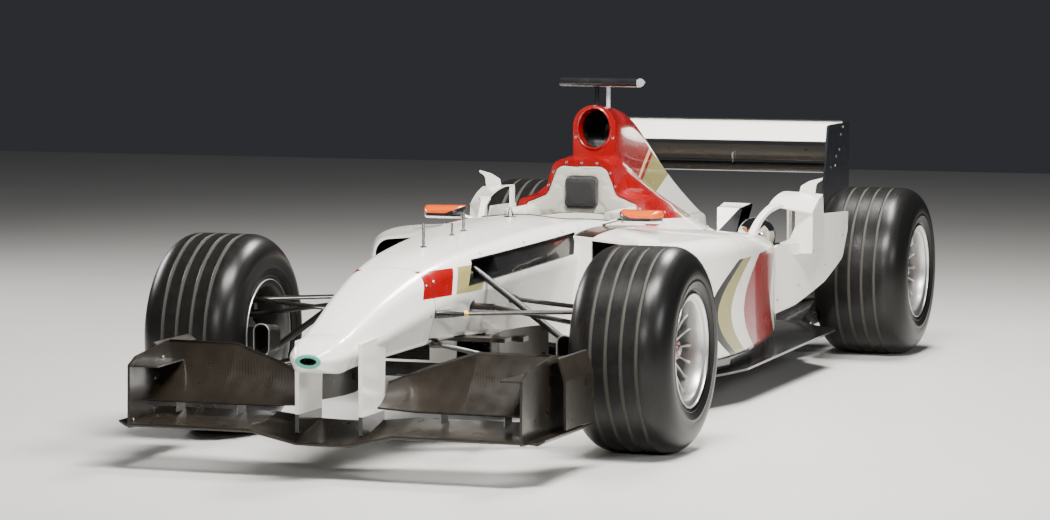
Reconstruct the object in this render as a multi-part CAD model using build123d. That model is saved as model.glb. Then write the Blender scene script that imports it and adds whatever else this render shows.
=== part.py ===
# Open wheel racing car of the early two-thousands, on grooved tyres. Millimetres.
# X points forward, Y to the car's left and Z up. The ground is z = 0, and the origin
# is on it under the middle of the car's box. Stations are given as the distance
# behind the front axle, so what is ahead of that axle has a negative one.
import os
from math import cos, radians, sin

from build123d import *

os.makedirs("parts", exist_ok=True)

# Driving dimensions
wheelbase = 3140.0
front_track = 1460.0
rear_track = 1420.0
nose_overhang = 1035.0
tail_overhang = 400.0
ride_height = 48.5
rake = 0.01575
step_height = 50.0

tyre_radius = 330.0
front_tyre_width = 340.0
rear_tyre_width = 375.0
tyre_shoulder = 88.0
bead_inset = 24.0
groove_width = 12.0
groove_depth = 5.0
groove_pitch = 50.0
groove_count = 4

rim_flange_radius = 184.0
rim_seat_radius = 164.0
rim_wall = 6.0
rim_flange_wall = 4.0
rim_inset = 14.0
spoke_count = 18
spoke_depth = 75.0
spoke_rise = 24.0
spoke_root = (11.0, 20.0)
spoke_tip = (7.0, 22.0)

stub_radius = 22.0
bearing_clearance = 0.3
disc_radius = 139.0
disc_thickness = 28.0
disc_offset = -18.0
disc_gap = 3.0
nut_across_flats = 55.0
nut_height = 26.0

kingpin_inset = 100.0
steering_arm = 80.0
steering_arm_height = 395.0
steering_lock = 15.0
rod_radius = 8.0
eye_radius = 15.0
eye_margin = 2.3

panel = 8.0

# How far the steering arm's pin moves along the car at full lock
eye_swing = steering_arm * (1 - cos(radians(steering_lock)))

front_axle_x = (wheelbase + nose_overhang + tail_overhang) / 2 - nose_overhang
rear_axle_x = front_axle_x - wheelbase


def at(behind):
    return front_axle_x - behind


def reference_height(behind):
    return ride_height + rake * behind


def step_plane(behind):
    return reference_height(behind) + step_height


def cross_plane(behind):
    return Plane(origin=(at(behind), 0, 0), x_dir=(0, 1, 0), z_dir=(1, 0, 0))


def side_plane(y):
    return Plane(origin=(0, y, 0), x_dir=(1, 0, 0), z_dir=(0, -1, 0))


def level_plane(z):
    return Plane(origin=(0, 0, z), x_dir=(1, 0, 0), z_dir=(0, 0, 1))


def outline(plane, points, corner):
    """A closed face in a plane, its corners rounded by one radius or a list."""
    return plane * make_face(FilletPolyline(*points, radius=corner, close=True))


def oval(plane, across, up, half_width, half_height):
    return plane * Pos(across, up) * Ellipse(half_width, half_height)


def box_between(corner, opposite):
    size = [abs(b - a) for a, b in zip(corner, opposite)]
    middle = [(a + b) / 2 for a, b in zip(corner, opposite)]
    return Pos(*middle) * Box(*size)


def plate(plane, points, corner, thickness):
    """A flat plate, half its thickness to each side of the plane."""
    return extrude(outline(plane, points, corner), thickness / 2, both=True)


def rod(start, end, radius):
    start = Vector(*start)
    run = Vector(*end) - start
    from_start = (Align.CENTER, Align.CENTER, Align.MIN)
    return Plane(origin=start, z_dir=run) * Cylinder(radius, run.length, align=from_start)


def blade_rod(start, end, chord, thickness):
    """A suspension arm of lens section, its long way lying fore and aft."""
    start = Vector(*start)
    run = Vector(*end) - start
    across = Vector(1, 0, 0) - run.normalized() * run.normalized().X
    frame = Plane(origin=start, x_dir=across, z_dir=run)
    lead, trail = (chord / 2, 0), (-chord / 2, 0)
    section = make_face([
        ThreePointArc(lead, (0, thickness / 2), trail),
        ThreePointArc(trail, (0, -thickness / 2), lead),
    ])
    return extrude(frame * section, run.length)


def other_side(shape):
    return mirror(shape, about=Plane.XZ)


def both_sides(shape):
    return Compound(children=solids_of(shape) + solids_of(other_side(shape)))


def solids_of(shape):
    if isinstance(shape, (list, tuple)):
        return [solid for piece in shape for solid in solids_of(piece)]
    return list(shape.solids())


def largest(shape):
    """The biggest solid of a cut piece, without the stubs that lie past the cut."""
    return max(solids_of(shape), key=lambda solid: solid.volume)


# Nose and tub, one form cut at the front bulkhead. Columns: station, half widths at the
# foot, belt and ridge, heights of the underside, belt and crown, and the three radii.
tip_table = [
    (-nose_overhang, 30, 44, 30, 350, 368, 386, 8, 12, 12),
    (-1012, 48, 66, 46, 338, 370, 402, 12, 18, 20),
    (-900, 74, 98, 72, 328, 380, 440, 20, 28, 34),
]
hull_table = [
    (-900, 74, 98, 72, 328, 380, 440, 20, 28, 34),
    (-640, 100, 128, 98, 342, 420, 528, 26, 50, 50),
    (-370, 128, 160, 132, 352, 470, 600, 30, 70, 62),
    (0, 150, 196, 168, 346, 520, 648, 34, 90, 66),
    (400, 172, 226, 196, 300, 545, 674, 36, 100, 66),
    (800, 200, 250, 220, 230, 550, 686, 40, 110, 60),
    (1250, 225, 270, 240, 140, 540, 668, 40, 110, 54),
    (1850, 235, 280, 250, 110, 500, 640, 40, 110, 54),
]
crown_slope = 0.11
bulkhead = -370.0
tub_end = 1850.0


def hull_loft(rows, inset=0.0):
    faces = []
    for behind, foot, belt, ridge, under, belt_z, crown, foot_r, belt_r, ridge_r in rows:
        foot, belt, ridge = foot - inset, belt - inset, ridge - inset
        under, crown = under + inset, crown - inset
        shoulder = crown - crown_slope * ridge
        points = [
            (-foot, under), (foot, under), (belt, belt_z), (ridge, shoulder),
            (0, crown), (-ridge, shoulder), (-belt, belt_z),
        ]
        corner = [foot_r, foot_r, belt_r, ridge_r, 3 * ridge, ridge_r, belt_r]
        faces.append(outline(cross_plane(behind), points, corner))
    return loft(faces)


def hull_form(inset=0.0):
    return hull_loft(hull_table, inset) + hull_loft(tip_table, inset)


hull = hull_form()


# Cockpit: the opening in plan, its floor, and the footwell ahead of it
cockpit_front = 900.0
cockpit_rear = 1555.0
cockpit_half = 215.0
cockpit_nose_half = 150.0
cockpit_floor = 190.0
footwell_front = 20.0


def cockpit_space():
    points = [
        (at(cockpit_front), -cockpit_nose_half),
        (at(cockpit_front), cockpit_nose_half),
        (at(cockpit_front + 280), cockpit_half),
        (at(cockpit_rear), cockpit_half),
        (at(cockpit_rear), -cockpit_half),
        (at(cockpit_front + 280), -cockpit_half),
    ]
    well = extrude(outline(level_plane(cockpit_floor), points, 60), 700)
    feet = loft([
        outline(cross_plane(footwell_front), [(-100, 395), (100, 395), (100, 575), (-100, 575)], 30),
        outline(cross_plane(cockpit_front + 60), [(-165, 255), (165, 255), (165, 590), (-165, 590)], 40),
    ])
    return well + feet


# Damper hatch: a shallow recess along the tub's side with a bay for the pushrod
hatch_depth = 9.0
hatch_points = [(-128, 524), (-62, 604), (800, 633), (742, 562)]
bay_points = [(-118, 532), (-66, 596), (118, 602), (118, 545)]
bay_inner = 95.0


def side_prism(points, low_y, high_y, corner):
    flat = [(at(behind), z) for behind, z in points]
    return extrude(outline(side_plane(low_y), flat, corner), -(high_y - low_y))


def hatch_cut(inner_hull):
    recess = side_prism(hatch_points, 100, 320, 4) - inner_hull
    bay = side_prism(bay_points, bay_inner, 320, 10)
    return recess + bay


# Steering rack's passage through the tub
rack_behind = -steering_arm
rack_height = 455.0
rack_bar = 11.0
rack_half = 250.0
rack_passage = 20.0
rack_guide_half = 120.0


def monocoque():
    body = hull & box_between((at(tub_end), -400, 0), (at(bulkhead), 400, 900))
    side = hatch_cut(hull_loft(hull_table, hatch_depth))
    body = body - side - other_side(side) - cockpit_space()
    rack_place = Pos(at(rack_behind), 0, rack_height) * Rot(90, 0, 0)
    body = body - rack_place * Cylinder(rack_bar + bearing_clearance, 600)
    for side in (1, -1):
        body = body - rack_place * Pos(0, 0, side * (rack_guide_half + 150)) * Cylinder(rack_passage, 300)
    return body - floor_block()


# Nose pylons, square to the road, with bare carbon feet below the paint
pylon_y = 104.0
pylon_width = 13.0
pylon_front = -872.0
pylon_rear = -690.0
pylon_foot = 126.0
nose_hole_half = (28.0, 11.0)


def nose_cone():
    body = hull & box_between((at(bulkhead), -400, 0), (at(-nose_overhang - 5), 400, 900))
    body = body - extrude(oval(cross_plane(-nose_overhang), 0, 368, *nose_hole_half), -70)
    points = [
        (pylon_front, pylon_foot), (pylon_front, 410), (pylon_rear + 10, 420), (pylon_rear, pylon_foot + 12),
    ]
    flat = [(at(behind), z) for behind, z in points]
    leg = plate(side_plane(pylon_y), flat, [4, 4, 4, 4], pylon_width)
    return body + leg + other_side(leg)


# Front wing
wing_half = 636.0


def aerofoil(lead, trail, camber, thick, nose):
    """Closed section from a leading point to a trailing point, its belly cambered down.

    lead and trail are (x, z); camber and thick are measured at mid chord."""
    lead, trail = Vector(*lead), Vector(*trail)
    run = (trail - lead).normalized()
    up = Vector(-run.Y, run.X)
    if up.Y < 0:
        up = -up
    middle = (lead + trail) / 2
    top_lead = lead + up * nose
    low_lead = lead - up * nose
    top_mid = middle - up * (camber - thick / 2)
    low_mid = middle - up * (camber + thick / 2)
    top_trail = trail + up * 1.5
    low_trail = trail - up * 1.5
    return make_face([
        ThreePointArc(top_lead, top_mid, top_trail),
        Line(top_trail, low_trail),
        ThreePointArc(low_trail, low_mid, low_lead),
        ThreePointArc(low_lead, lead - run * nose, top_lead),
    ])


# y, leading station, leading height, trailing station, trailing height
main_plane_table = [
    (0, -926, 104, -700, 152),
    (90, -928, 106, -700, 154),
    (230, -934, 138, -722, 172),
    (wing_half, -930, 138, -722, 172),
]
flap_table = [
    (122, -775, 205, -690, 268),
    (250, -790, 200, -668, 318),
    (400, -795, 200, -650, 366),
    (wing_half, -795, 200, -640, 366),
]


def span_loft(rows, camber, thick, nose):
    faces = []
    for y, lead_b, lead_z, trail_b, trail_z in rows:
        face = aerofoil((at(lead_b), lead_z), (at(trail_b), trail_z), camber, thick, nose)
        faces.append(side_plane(y) * face)
    return loft(faces, ruled=True)


def front_wing_plane():
    half = span_loft(main_plane_table, 10, 16, 6)
    legs = nose_cone_shape
    return half + other_side(half) - legs


def front_wing_flaps():
    flap = span_loft(flap_table, 16, 10, 4)
    return [flap - nose_cone_shape, other_side(flap - nose_cone_shape)]


# Front endplate. Outline: station, z. Foot and blade: out from the plate, z
endplate_thick = 8.0
front_plate_outline = [
    (-934, 128), (-930, 322), (-880, 345), (-640, 372), (-480, 352), (-410, 300), (-420, 150), (-520, 118),
]
front_plate_corners = [6, 10, 20, 60, 30, 40, 30, 20]
foot_section = [(-2, 128), (30, 124), (54, 138), (56, 146), (30, 133), (-2, 137)]
foot_front = -880.0
foot_length = 450.0
blade_section = [(-2, 352), (30, 372), (54, 300), (56, 150), (49, 150), (47, 298), (27, 362), (-2, 343)]
blade_corners = [1, 6, 20, 1, 1, 20, 6, 1]
blade_front = -690.0
blade_length = 270.0
shelf_height = 316.0
shelf_thick = 5.0
shelf_plan = [(-900, -78), (-900, 2), (-500, 2), (-560, -60)]


def front_endplate():
    """Endplate with its footplate, its outer blade and the shelf along its top."""
    inner = wing_half
    outer = wing_half + endplate_thick
    flat = [(at(behind), z) for behind, z in front_plate_outline]
    fence = plate(side_plane((inner + outer) / 2), flat, front_plate_corners, endplate_thick)
    foot = outline(cross_plane(foot_front), [(outer + y, z) for y, z in foot_section], 2)
    blade = outline(cross_plane(blade_front), [(outer + y, z) for y, z in blade_section], blade_corners)
    plan = [(at(behind), inner + y) for behind, y in shelf_plan]
    shelf = plate(level_plane(shelf_height), plan, 6, shelf_thick)
    return fence + extrude(foot, -foot_length) + extrude(blade, -blade_length) + shelf


# Turning vanes hung from the tub behind the front suspension: an arc in plan, on two arms
vane_plan = [(-260, 300), (-60, 262), (210, 330)]
vane_thick = 5.0
vane_foot = 150.0
vane_height = 225.0
vane_arms = [(-120, -60, 345, 358), (60, 110, 330, 346)]
vane_arm_inner = 90.0
vane_arm_outer = 300.0


def turning_vane():
    inner = [Vector(at(behind), y) for behind, y in vane_plan]
    outer = [Vector(at(behind), y + vane_thick) for behind, y in vane_plan]
    edges = [
        ThreePointArc(*inner), Line(inner[2], outer[2]),
        ThreePointArc(*reversed(outer)), Line(outer[0], inner[0]),
    ]
    body = extrude(level_plane(vane_foot) * make_face(edges), vane_height)
    for front, rear, low, high in vane_arms:
        body = body + box_between((at(front), vane_arm_inner, low), (at(rear), vane_arm_outer, high))
    for behind, y, z in front_lower_arms:
        body = body - blade_rod((at(behind), y - 12, z), (front_axle_x, kingpin_y, lower_ball_z), 44, 34)
    return body - hull


floor_top = 8.0
sill_height = 46.0
floor_front = 762.0
floor_rear = wheelbase - 345.0
tray_front = 640.0
tray_half = 150.0


def raked_block(front, rear, half, low, high, y_middle=0.0):
    """A block along the car between two heights over the reference plane."""
    points = [
        (at(front), reference_height(front) + low), (at(front), reference_height(front) + high),
        (at(rear), reference_height(rear) + high), (at(rear), reference_height(rear) + low),
    ]
    face = side_plane(y_middle) * make_face(Polyline(*points, close=True))
    return extrude(face, half, both=True)


# Floor in plan: behind, half width
floor_plan = [
    (floor_front, 300), (810, 500), (1000, 610), (1180, 668), (1320, 700), (2560, 700), (2700, 560),
    (floor_rear, 540),
]


def plan_prism(plan, low, high):
    left = [(at(b), y) for b, y in plan]
    right = [(x, -y) for x, y in reversed(left)]
    face = make_face(Polyline(*left, *right, close=True))
    return extrude(level_plane(low) * face, high - low)


def floor_block():
    """What the floor fills, down to the road, taken out of what stands on it."""
    step = raked_block(tray_front, floor_rear + 400, 800, -200, step_height + floor_top)
    step = step & box_between((at(floor_rear + 400), -800, -200), (at(floor_front), 800, 900))
    tray = raked_block(tray_front, floor_front + 10, tray_half, -200, step_height + floor_top)
    return step + tray


def floor():
    deck = raked_block(floor_front, floor_rear, 800, step_height, step_height + floor_top)
    deck = deck & plan_prism(floor_plan, 0, 400)
    sill = raked_block(floor_front, floor_rear, 800, step_height, step_height + floor_top + sill_height)
    sill = (sill & plan_prism(sill_plan(), 0, 400)) - hull - engine_bay()
    tray = raked_block(tray_front, floor_rear, tray_half, 0, step_height + floor_top)
    return deck + sill + tray


def plank():
    return raked_block(tray_front + 4, floor_rear, tray_half, -10, 0)


# Engine and gearbox, plain blocks that fill their real places
engine_front = tub_end
engine_rear = 2440.0
engine_half = 185.0
engine_top = 470.0
engine_gap = 4.0
gearbox_rear = wheelbase + 90.0
cone_rear = wheelbase + tail_overhang - 24.0


def engine_bay():
    half = engine_half + engine_gap
    return box_between((at(engine_rear + 500), -half, 0), (at(engine_front), half, engine_top + engine_gap))


def engine():
    block = box_between((at(engine_rear), -engine_half, 0), (at(engine_front), engine_half, engine_top))
    return block - floor_block()


def gearbox():
    case = loft([
        outline(cross_plane(engine_rear), [(-170, 175), (170, 175), (170, 440), (-170, 440)], 40),
        outline(cross_plane(2800), [(-120, 205), (120, 205), (120, 430), (-120, 430)], 40),
        outline(cross_plane(gearbox_rear), [(-75, 270), (75, 270), (75, 410), (-75, 410)], 30),
    ])
    return case


def crash_structure():
    cone = loft([
        outline(cross_plane(gearbox_rear), [(-70, 275), (70, 275), (70, 405), (-70, 405)], 28),
        outline(cross_plane(cone_rear), [(-42, 300), (42, 300), (42, 372), (-42, 372)], 18),
    ])
    return cone + jack_pin()


jack_pin_radius = 9.0
jack_pin_half = 78.0
jack_shoulder_radius = 15.0
jack_shoulder_half = 54.0
jack_pin_place = (cone_rear - 16.0, 330.0)


def jack_pin():
    """Cross pin that a rear jack lifts by, with a shoulder against the cone's sides."""
    behind, z = jack_pin_place
    pin = Cylinder(jack_pin_radius, 2 * jack_pin_half) + Cylinder(jack_shoulder_radius, 2 * jack_shoulder_half)
    return Pos(at(behind), 0, z) * Rot(90, 0, 0) * pin


def rain_light():
    return extrude(outline(cross_plane(cone_rear), [(-32, 308), (32, 308), (32, 364), (-32, 364)], 6), -22)


# Sidepods: behind, outer half, inner top, outer top. The first row is the inlet's face.
pod_table = [
    (776, 506, 624, 596),
    (880, 556, 638, 590),
    (1000, 602, 642, 587),
    (1150, 648, 638, 588),
    (1300, 668, 628, 590),
    (1600, 662, 604, 580),
    (1900, 628, 572, 552),
    (2200, 560, 540, 515),
    (2500, 465, 500, 462),
    (floor_rear - 5, 330, 440, 400),
]
pod_inner = 198.0
pod_shoulder = 62.0
pod_foot_radius = 36.0
pod_sunk = 14.0
sill_inset = 28.0
sill_lead = 16.0
radiator_at = 1460.0
duct_inner = 296.0
core_depth = 60.0


def sill_plan():
    """Plan of the dark sill, inset under the pod's foot."""
    lead, lead_half = pod_table[0][:2]
    front = [(lead + sill_lead, pod_inner), (lead + sill_lead, lead_half - sill_inset)]
    return front + [(row[0], row[1] - sill_inset) for row in pod_table[1:]]


def pod_form(inset=0.0):
    faces = []
    for behind, outer, inner_top, outer_top in pod_table:
        bottom = step_plane(behind) + floor_top + sill_height - pod_sunk
        points = [
            (pod_inner, bottom + inset), (outer - inset, bottom + inset),
            (outer - inset, outer_top - inset), (pod_inner, inner_top - inset),
        ]
        corner = [4, pod_foot_radius - inset, pod_shoulder - inset, 4]
        faces.append(outline(cross_plane(behind), points, corner))
    return loft(faces)


def under_pod(rise=0.0):
    """All that lies below the pods, down to the road."""
    level = step_height + floor_top + sill_height + rise
    return raked_block(pod_table[0][0] - 20, pod_table[-1][0] + 20, 800, -200, level)


def duct_form(front, rear):
    """The duct inside a pod between two stations."""
    room = box_between((at(rear), duct_inner, 0), (at(front), 900, 900))
    return (pod_form(panel) & room) - under_pod(panel)


def sidepod():
    return pod_form() - under_pod() - duct_form(pod_table[0][0] - 20, radiator_at) - hull


def radiator():
    return duct_form(radiator_at - core_depth, radiator_at)


# Engine cover: behind, base half, base z, shoulder half, shoulder z, neck half, neck z, top half, top z
cover_table = [
    (1700, 292, 560, 238, 690, 80, 815, 82, 1031),
    (1850, 320, 552, 240, 672, 76, 790, 78, 1018),
    (2016, 340, 540, 228, 642, 60, 752, 56, 982),
    (2232, 345, 515, 205, 600, 46, 690, 40, 894),
    (2455, 325, 480, 180, 552, 38, 622, 32, 786),
    (2701, 270, 430, 140, 500, 34, 560, 27, 678),
    (3060, 130, 380, 80, 420, 34, 460, 26, 548),
]
# Arch over the headrest: behind, base half, base z, shoulder half, shoulder z, dome half, crown z
arch_front = 1556.0
arch_table = [
    (arch_front, 275, 560, 238, 690, 104, 838),
    (1704, 292, 560, 240, 700, 100, 850),
]
intake_half = (62.0, 74.0)
intake_z = 946.0


def cover_form():
    faces = []
    for behind, base, base_z, shoulder, shoulder_z, neck, neck_z, top, top_z in cover_table:
        points = [
            (-base, base_z), (base, base_z), (shoulder, shoulder_z), (neck, neck_z),
            (top, top_z), (-top, top_z), (-neck, neck_z), (-shoulder, shoulder_z),
        ]
        crown_r = top * 0.96
        corner = [2, 2, 40, 40, crown_r, crown_r, 40, 40]
        faces.append(outline(cross_plane(behind), points, corner))
    return loft(faces)


def arch_form():
    faces = []
    for behind, base, base_z, shoulder, shoulder_z, dome, crown in arch_table:
        points = [
            (-base, base_z), (base, base_z), (shoulder, shoulder_z), (dome + 40, shoulder_z + 20),
            (dome, crown), (-dome, crown), (-dome - 40, shoulder_z + 20), (-shoulder, shoulder_z),
        ]
        faces.append(outline(cross_plane(behind), points, [2, 2, 14, 24, 46, 46, 24, 14]))
    return loft(faces)


def engine_cover():
    intake = loft([
        oval(cross_plane(1690), 0, intake_z, *intake_half),
        oval(cross_plane(1960), 0, intake_z - 30, 44, 50),
    ])
    body = cover_form() + arch_form() - intake
    pods = pod_left
    return body - hull - pods - other_side(pods) - engine_bay() - collar_form()


# Headrest collar and its pad
collar_front = 1300.0
collar_depth = 44.0
pad_half = 62.0
pad_proud = 16.0
pad_depth = 30.0


def collar_form():
    """The padded surround: an arched back and two arms along the cockpit's sides."""
    return extrude(outline(cross_plane(arch_front), [
        (-214, 606), (214, 606), (214, 678), (134, 712), (92, 816), (-92, 816), (-134, 712), (-214, 678),
    ], [4, 4, 10, 24, 38, 38, 24, 10]), -collar_depth)


def headrest_collar():
    arm = outline(cross_plane(arch_front), [(160, 606), (213.5, 606), (213.5, 672), (168, 672)], [16, 4, 4, 22])
    arm = extrude(arm, arch_front - collar_front)
    return collar_form() + arm + other_side(arm) - pad_form() - tub_shape


def pad_form():
    return extrude(outline(cross_plane(arch_front - pad_proud), [
        (-pad_half, 662), (pad_half, 662), (pad_half, 776), (-pad_half, 776)], 20), -pad_depth)


def head_pad():
    return pad_form()


def seat():
    back = [
        (1010, 200), (1180, 196), (1400, 214), (1520, 420), (1540, 560),
        (1515, 562), (1496, 428), (1388, 230), (1180, 212), (1010, 216),
    ]
    flat = [(at(b), z) for b, z in back]
    shell = plate(side_plane(0), flat, [3, 60, 80, 40, 3, 3, 40, 70, 50, 3], 360)
    return shell


wheel_hub = (1085.0, 585.0)
column_tilt = 18.0
column_radius = 12.0
column_reach = 95.0
scuttle_half = 196.0


def steering_frame():
    """Plane square to the column, at the steering wheel's boss."""
    tilt = radians(column_tilt)
    behind, z = wheel_hub
    return Plane(origin=(at(behind), 0, z), x_dir=(0, 1, 0), z_dir=(-cos(tilt), 0, sin(tilt)))


def steering_wheel():
    frame = steering_frame()
    ring = outline(frame, [(-130, -60), (130, -60), (130, 62), (-130, 62)], 50)
    hole = outline(frame, [(-106, -42), (106, -42), (106, 44), (-106, 44)], 34)
    boss = outline(frame, [(-60, -50), (60, -50), (60, 50), (-60, 50)], 10)
    rim = extrude(ring - hole, 11, both=True)
    shaft = frame * Pos(0, 0, -column_reach / 2) * Cylinder(column_radius, column_reach)
    return rim + extrude(boss, 9, both=True) + shaft


def dash():
    """Scuttle ahead of the wheel, with the bearing that the column turns in."""
    frame = steering_frame()
    bearing = frame * Pos(0, 0, -column_reach + 30) * Cylinder(column_radius + 14, 50)
    hoop = box_between((at(1040), -scuttle_half, 552), (at(968), scuttle_half, 580))
    bore = frame * Pos(0, 0, -column_reach / 2) * Cylinder(column_radius + bearing_clearance, column_reach + 10)
    return bearing + hoop - bore - tub_shape


# Mirrors on short stalks. Sections: station from the middle, inner y, outer y, foot, top, radius
mirror_station = 1096.0
mirror_table = [
    (-34, 314, 420, 652, 677, 9),
    (0, 292, 442, 646, 691, 14),
    (34, 288, 446, 644, 693, 10),
]


def mirror_unit():
    faces = []
    for offset, inner, outer, foot, top, corner in mirror_table:
        points = [(inner + 4, foot), (outer - 6, foot), (outer, top - 2), (inner, top)]
        faces.append(outline(cross_plane(mirror_station + offset), points, corner))
    start = (at(mirror_station + 10), 225, 640)
    end = (at(mirror_station + 4), mirror_table[1][1] + 24, 664)
    return (loft(faces) + blade_rod(start, end, 40, 10)) - hull


def nose_masts():
    masts = [
        rod((at(-62), 0, 630), (at(-62), 0, 716), 5),
        rod((at(202), 0, 640), (at(202), 0, 700), 4),
        rod((at(312), 0, 645), (at(312), 0, 728), 5),
        Pos(at(776), 0, 672) * Cone(17, 3, 44, align=(Align.CENTER, Align.CENTER, Align.MIN)),
    ]
    return [mast - hull for mast in masts]


camera_z = 1112.0
camera_half = 150.0


def camera_wing():
    face = aerofoil((at(1755), camera_z), (at(1845), camera_z), 0, 30, 13)
    bar = extrude(side_plane(-camera_half) * face, -2 * camera_half)
    stalks = [rod((at(1800), y, 1000), (at(1800), y, camera_z - 6), 8) for y in (-22, 22)]
    return bar + stalks[0] + stalks[1] - cover_shape


# Flip-ups ahead of the rear tyres: a swept shield, a hollow box on it under a flap, and a
# slim leg from the flap down to the pod. Plan points are (behind, y), the rest (behind, z).
shield_plan = [(2016, 594), (2350, 652), (2776, 690)]
shield_side = [
    (1990, 244), (2212, 270), (2500, 336), (2705, 412), (2772, 520), (2776, 588), (2404, 600), (2300, 500),
    (2060, 506), (1990, 480),
]
shield_corners = [10, 60, 60, 60, 40, 4, 4, 40, 40, 10]
box_front = 2250.0
box_rear = 2402.0
box_inner = 560.0
box_outer = 686.0
box_floor = 462.0
window_edge = 618.0
# Flap: y, leading station and height, middle station and height, trailing station and height
flap_rows = [
    (556, 2112, 656, 2210, 680, box_rear, 684),
    (620, 2178, 634, 2262, 668, box_rear, 682),
    (box_outer, box_front, 616, 2312, 650, box_rear, 676),
]
# Leg: station, inner y, outer y, foot z, top z
leg_table = [
    (1944, 520, 544, 516, 556),
    (1990, 534, 558, 580, 604),
    (2050, 546, 572, 618, 636),
    (2124, 556, 606, 642, 656),
]
horn_points = [(600, 672), (608, 708), (642, 728), (693, 741), (690, 732), (668, 718), (662, 672)]
sheet = 6.0


def swept_wall(plan, thick):
    """An upright wall whose plan is an arc through three points."""
    outer = [Vector(at(behind), y) for behind, y in plan]
    inner = [Vector(at(behind), y - thick) for behind, y in plan]
    edges = [
        ThreePointArc(*outer), Line(outer[2], inner[2]),
        ThreePointArc(*reversed(inner)), Line(inner[0], outer[0]),
    ]
    return extrude(make_face(edges), 900)


def flap_form():
    faces = []
    for y, lead_b, lead_z, mid_b, mid_z, trail_b, trail_z in flap_rows:
        top = [(at(lead_b), lead_z), (at(mid_b), mid_z), (at(trail_b), trail_z)]
        low = [(x, z - sheet) for x, z in reversed(top)]
        edges = [ThreePointArc(*top), Line(top[2], low[0]), ThreePointArc(*low), Line(low[2], top[0])]
        faces.append(side_plane(y) * make_face(edges))
    return loft(faces, ruled=True)


def flip_up():
    shield = swept_wall(shield_plan, panel) & side_prism(shield_side, 400, 800, shield_corners)
    wall = plate(cross_plane(box_front + sheet / 2), [
        (box_inner, box_floor), (box_outer, box_floor), (box_outer, 614), (window_edge, 634),
        (window_edge, 560), (596, 512), (box_inner, 500),
    ], [4, 4, 2, 2, 20, 20, 4], sheet)
    side = plate(side_plane(box_outer - sheet / 2), [
        (at(box_front), 614), (at(box_rear), 674), (at(box_rear + 30), 504), (at(box_front + 72), 452),
        (at(box_front), box_floor + 26),
    ], 2, sheet)
    shelf = plate(level_plane(box_floor + sheet / 2), [
        (at(box_front - 90), 600), (at(box_front), box_outer - 1), (at(box_rear), box_outer - 1),
        (at(box_rear), 500), (at(box_front - 90), 540),
    ], 2, sheet)
    leg = loft([
        outline(cross_plane(behind), [(inner, foot), (outer, foot), (outer, top), (inner, top)], 3)
        for behind, inner, outer, foot, top in leg_table
    ])
    horn = plate(cross_plane(box_rear - 30), horn_points, [2, 10, 30, 2, 2, 20, 2], sheet)
    post = box_between((at(box_rear), box_inner - 4, 440), (at(box_rear - 40), box_inner + 4, 680))
    return shield + wall + side + shelf + flap_form() + leg + horn + post - pod_left


# Cooling chimney and the bulged shield over the exhaust's outlet
def chimney():
    return loft([
        outline(cross_plane(2560), [(222, 480), (290, 470), (322, 604), (222, 606)], 6),
        outline(cross_plane(2660), [(218, 440), (286, 440), (338, 616), (214, 618)], 6),
    ]) - pod_left - cover_shape


bulge_place = (2420.0, 420.0, 508.0)
bulge_radius = 74.0
outlet_place = (2540.0, 398.0, 532.0)
outlet_radius = 36.0


def exhaust_shield():
    behind, y, z = bulge_place
    end_behind, end_y, end_z = outlet_place
    start = (at(behind), y, z)
    end = (at(end_behind), end_y, end_z)
    bore_start = (at(behind + 50), (y + end_y) / 2, (z + end_z) / 2)
    bore_end = (at(end_behind + 10), end_y, end_z)
    body = Pos(*start) * Sphere(bulge_radius) + rod(start, end, outlet_radius)
    return body - rod(bore_start, bore_end, outlet_radius - 5) - pod_left - cover_shape - chimney_left


# Rear wing elements. Stations behind the rear axle: lead, lead z, trail, trail z, camber, thickness
rear_elements = [
    (75, 716, 195, 738, 12, 14),
    (160, 752, 260, 806, 10, 10),
    (228, 826, 310, 903, 6, 6),
]
rear_wing_half = 490.0
rear_plate = 9.0
beam_element = (40, 350, 260, 400, 16, 20)
# Endplate's outline: station behind the rear axle, z
rear_endplate_outline = [
    (60, 900), (10, 700), (-20, 520), (56, 400), (96, 300), (280, 320), (390, 420), (tail_overhang, 902),
]
rear_endplate_corners = [20, 80, 60, 40, 30, 60, 40, 10]


def wing_element(row, half):
    lead_b, lead_z, trail_b, trail_z, camber, thick = row
    lead, trail = (at(wheelbase + lead_b), lead_z), (at(wheelbase + trail_b), trail_z)
    face = aerofoil(lead, trail, camber, thick, 0.35 * thick)
    return extrude(side_plane(-half) * face, -2 * half)


def rear_wing():
    return [wing_element(row, rear_wing_half) for row in rear_elements]


def beam_wing():
    return wing_element(beam_element, rear_wing_half) - tail_shape


def rear_endplate():
    flat = [(at(wheelbase + b), z) for b, z in rear_endplate_outline]
    return plate(side_plane(rear_wing_half + rear_plate / 2), flat, rear_endplate_corners, rear_plate)


# Diffuser: its end, the height of its roof there and its upright strakes
diffuser_end = wheelbase - 20.0
diffuser_roof = 240.0
diffuser_half = 500.0
strake_thick = 5.0
strake_rows = (diffuser_half - strake_thick / 2, 300, 152)


def diffuser():
    roof_points = [
        (floor_rear, step_plane(floor_rear)), (floor_rear, step_plane(floor_rear) + floor_top),
        (diffuser_end, diffuser_roof + floor_top), (diffuser_end, diffuser_roof),
    ]
    body = side_prism_sharp(roof_points, diffuser_half)
    strake_points = [
        (floor_rear, reference_height(floor_rear) + 20), (floor_rear, step_plane(floor_rear) + 4),
        (diffuser_end, diffuser_roof + 4), (diffuser_end, diffuser_roof / 2),
    ]
    strake = side_prism_sharp(strake_points, strake_thick / 2)
    for y in strake_rows:
        body = body + Pos(0, y, 0) * strake + Pos(0, -y, 0) * strake
    return body


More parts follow.
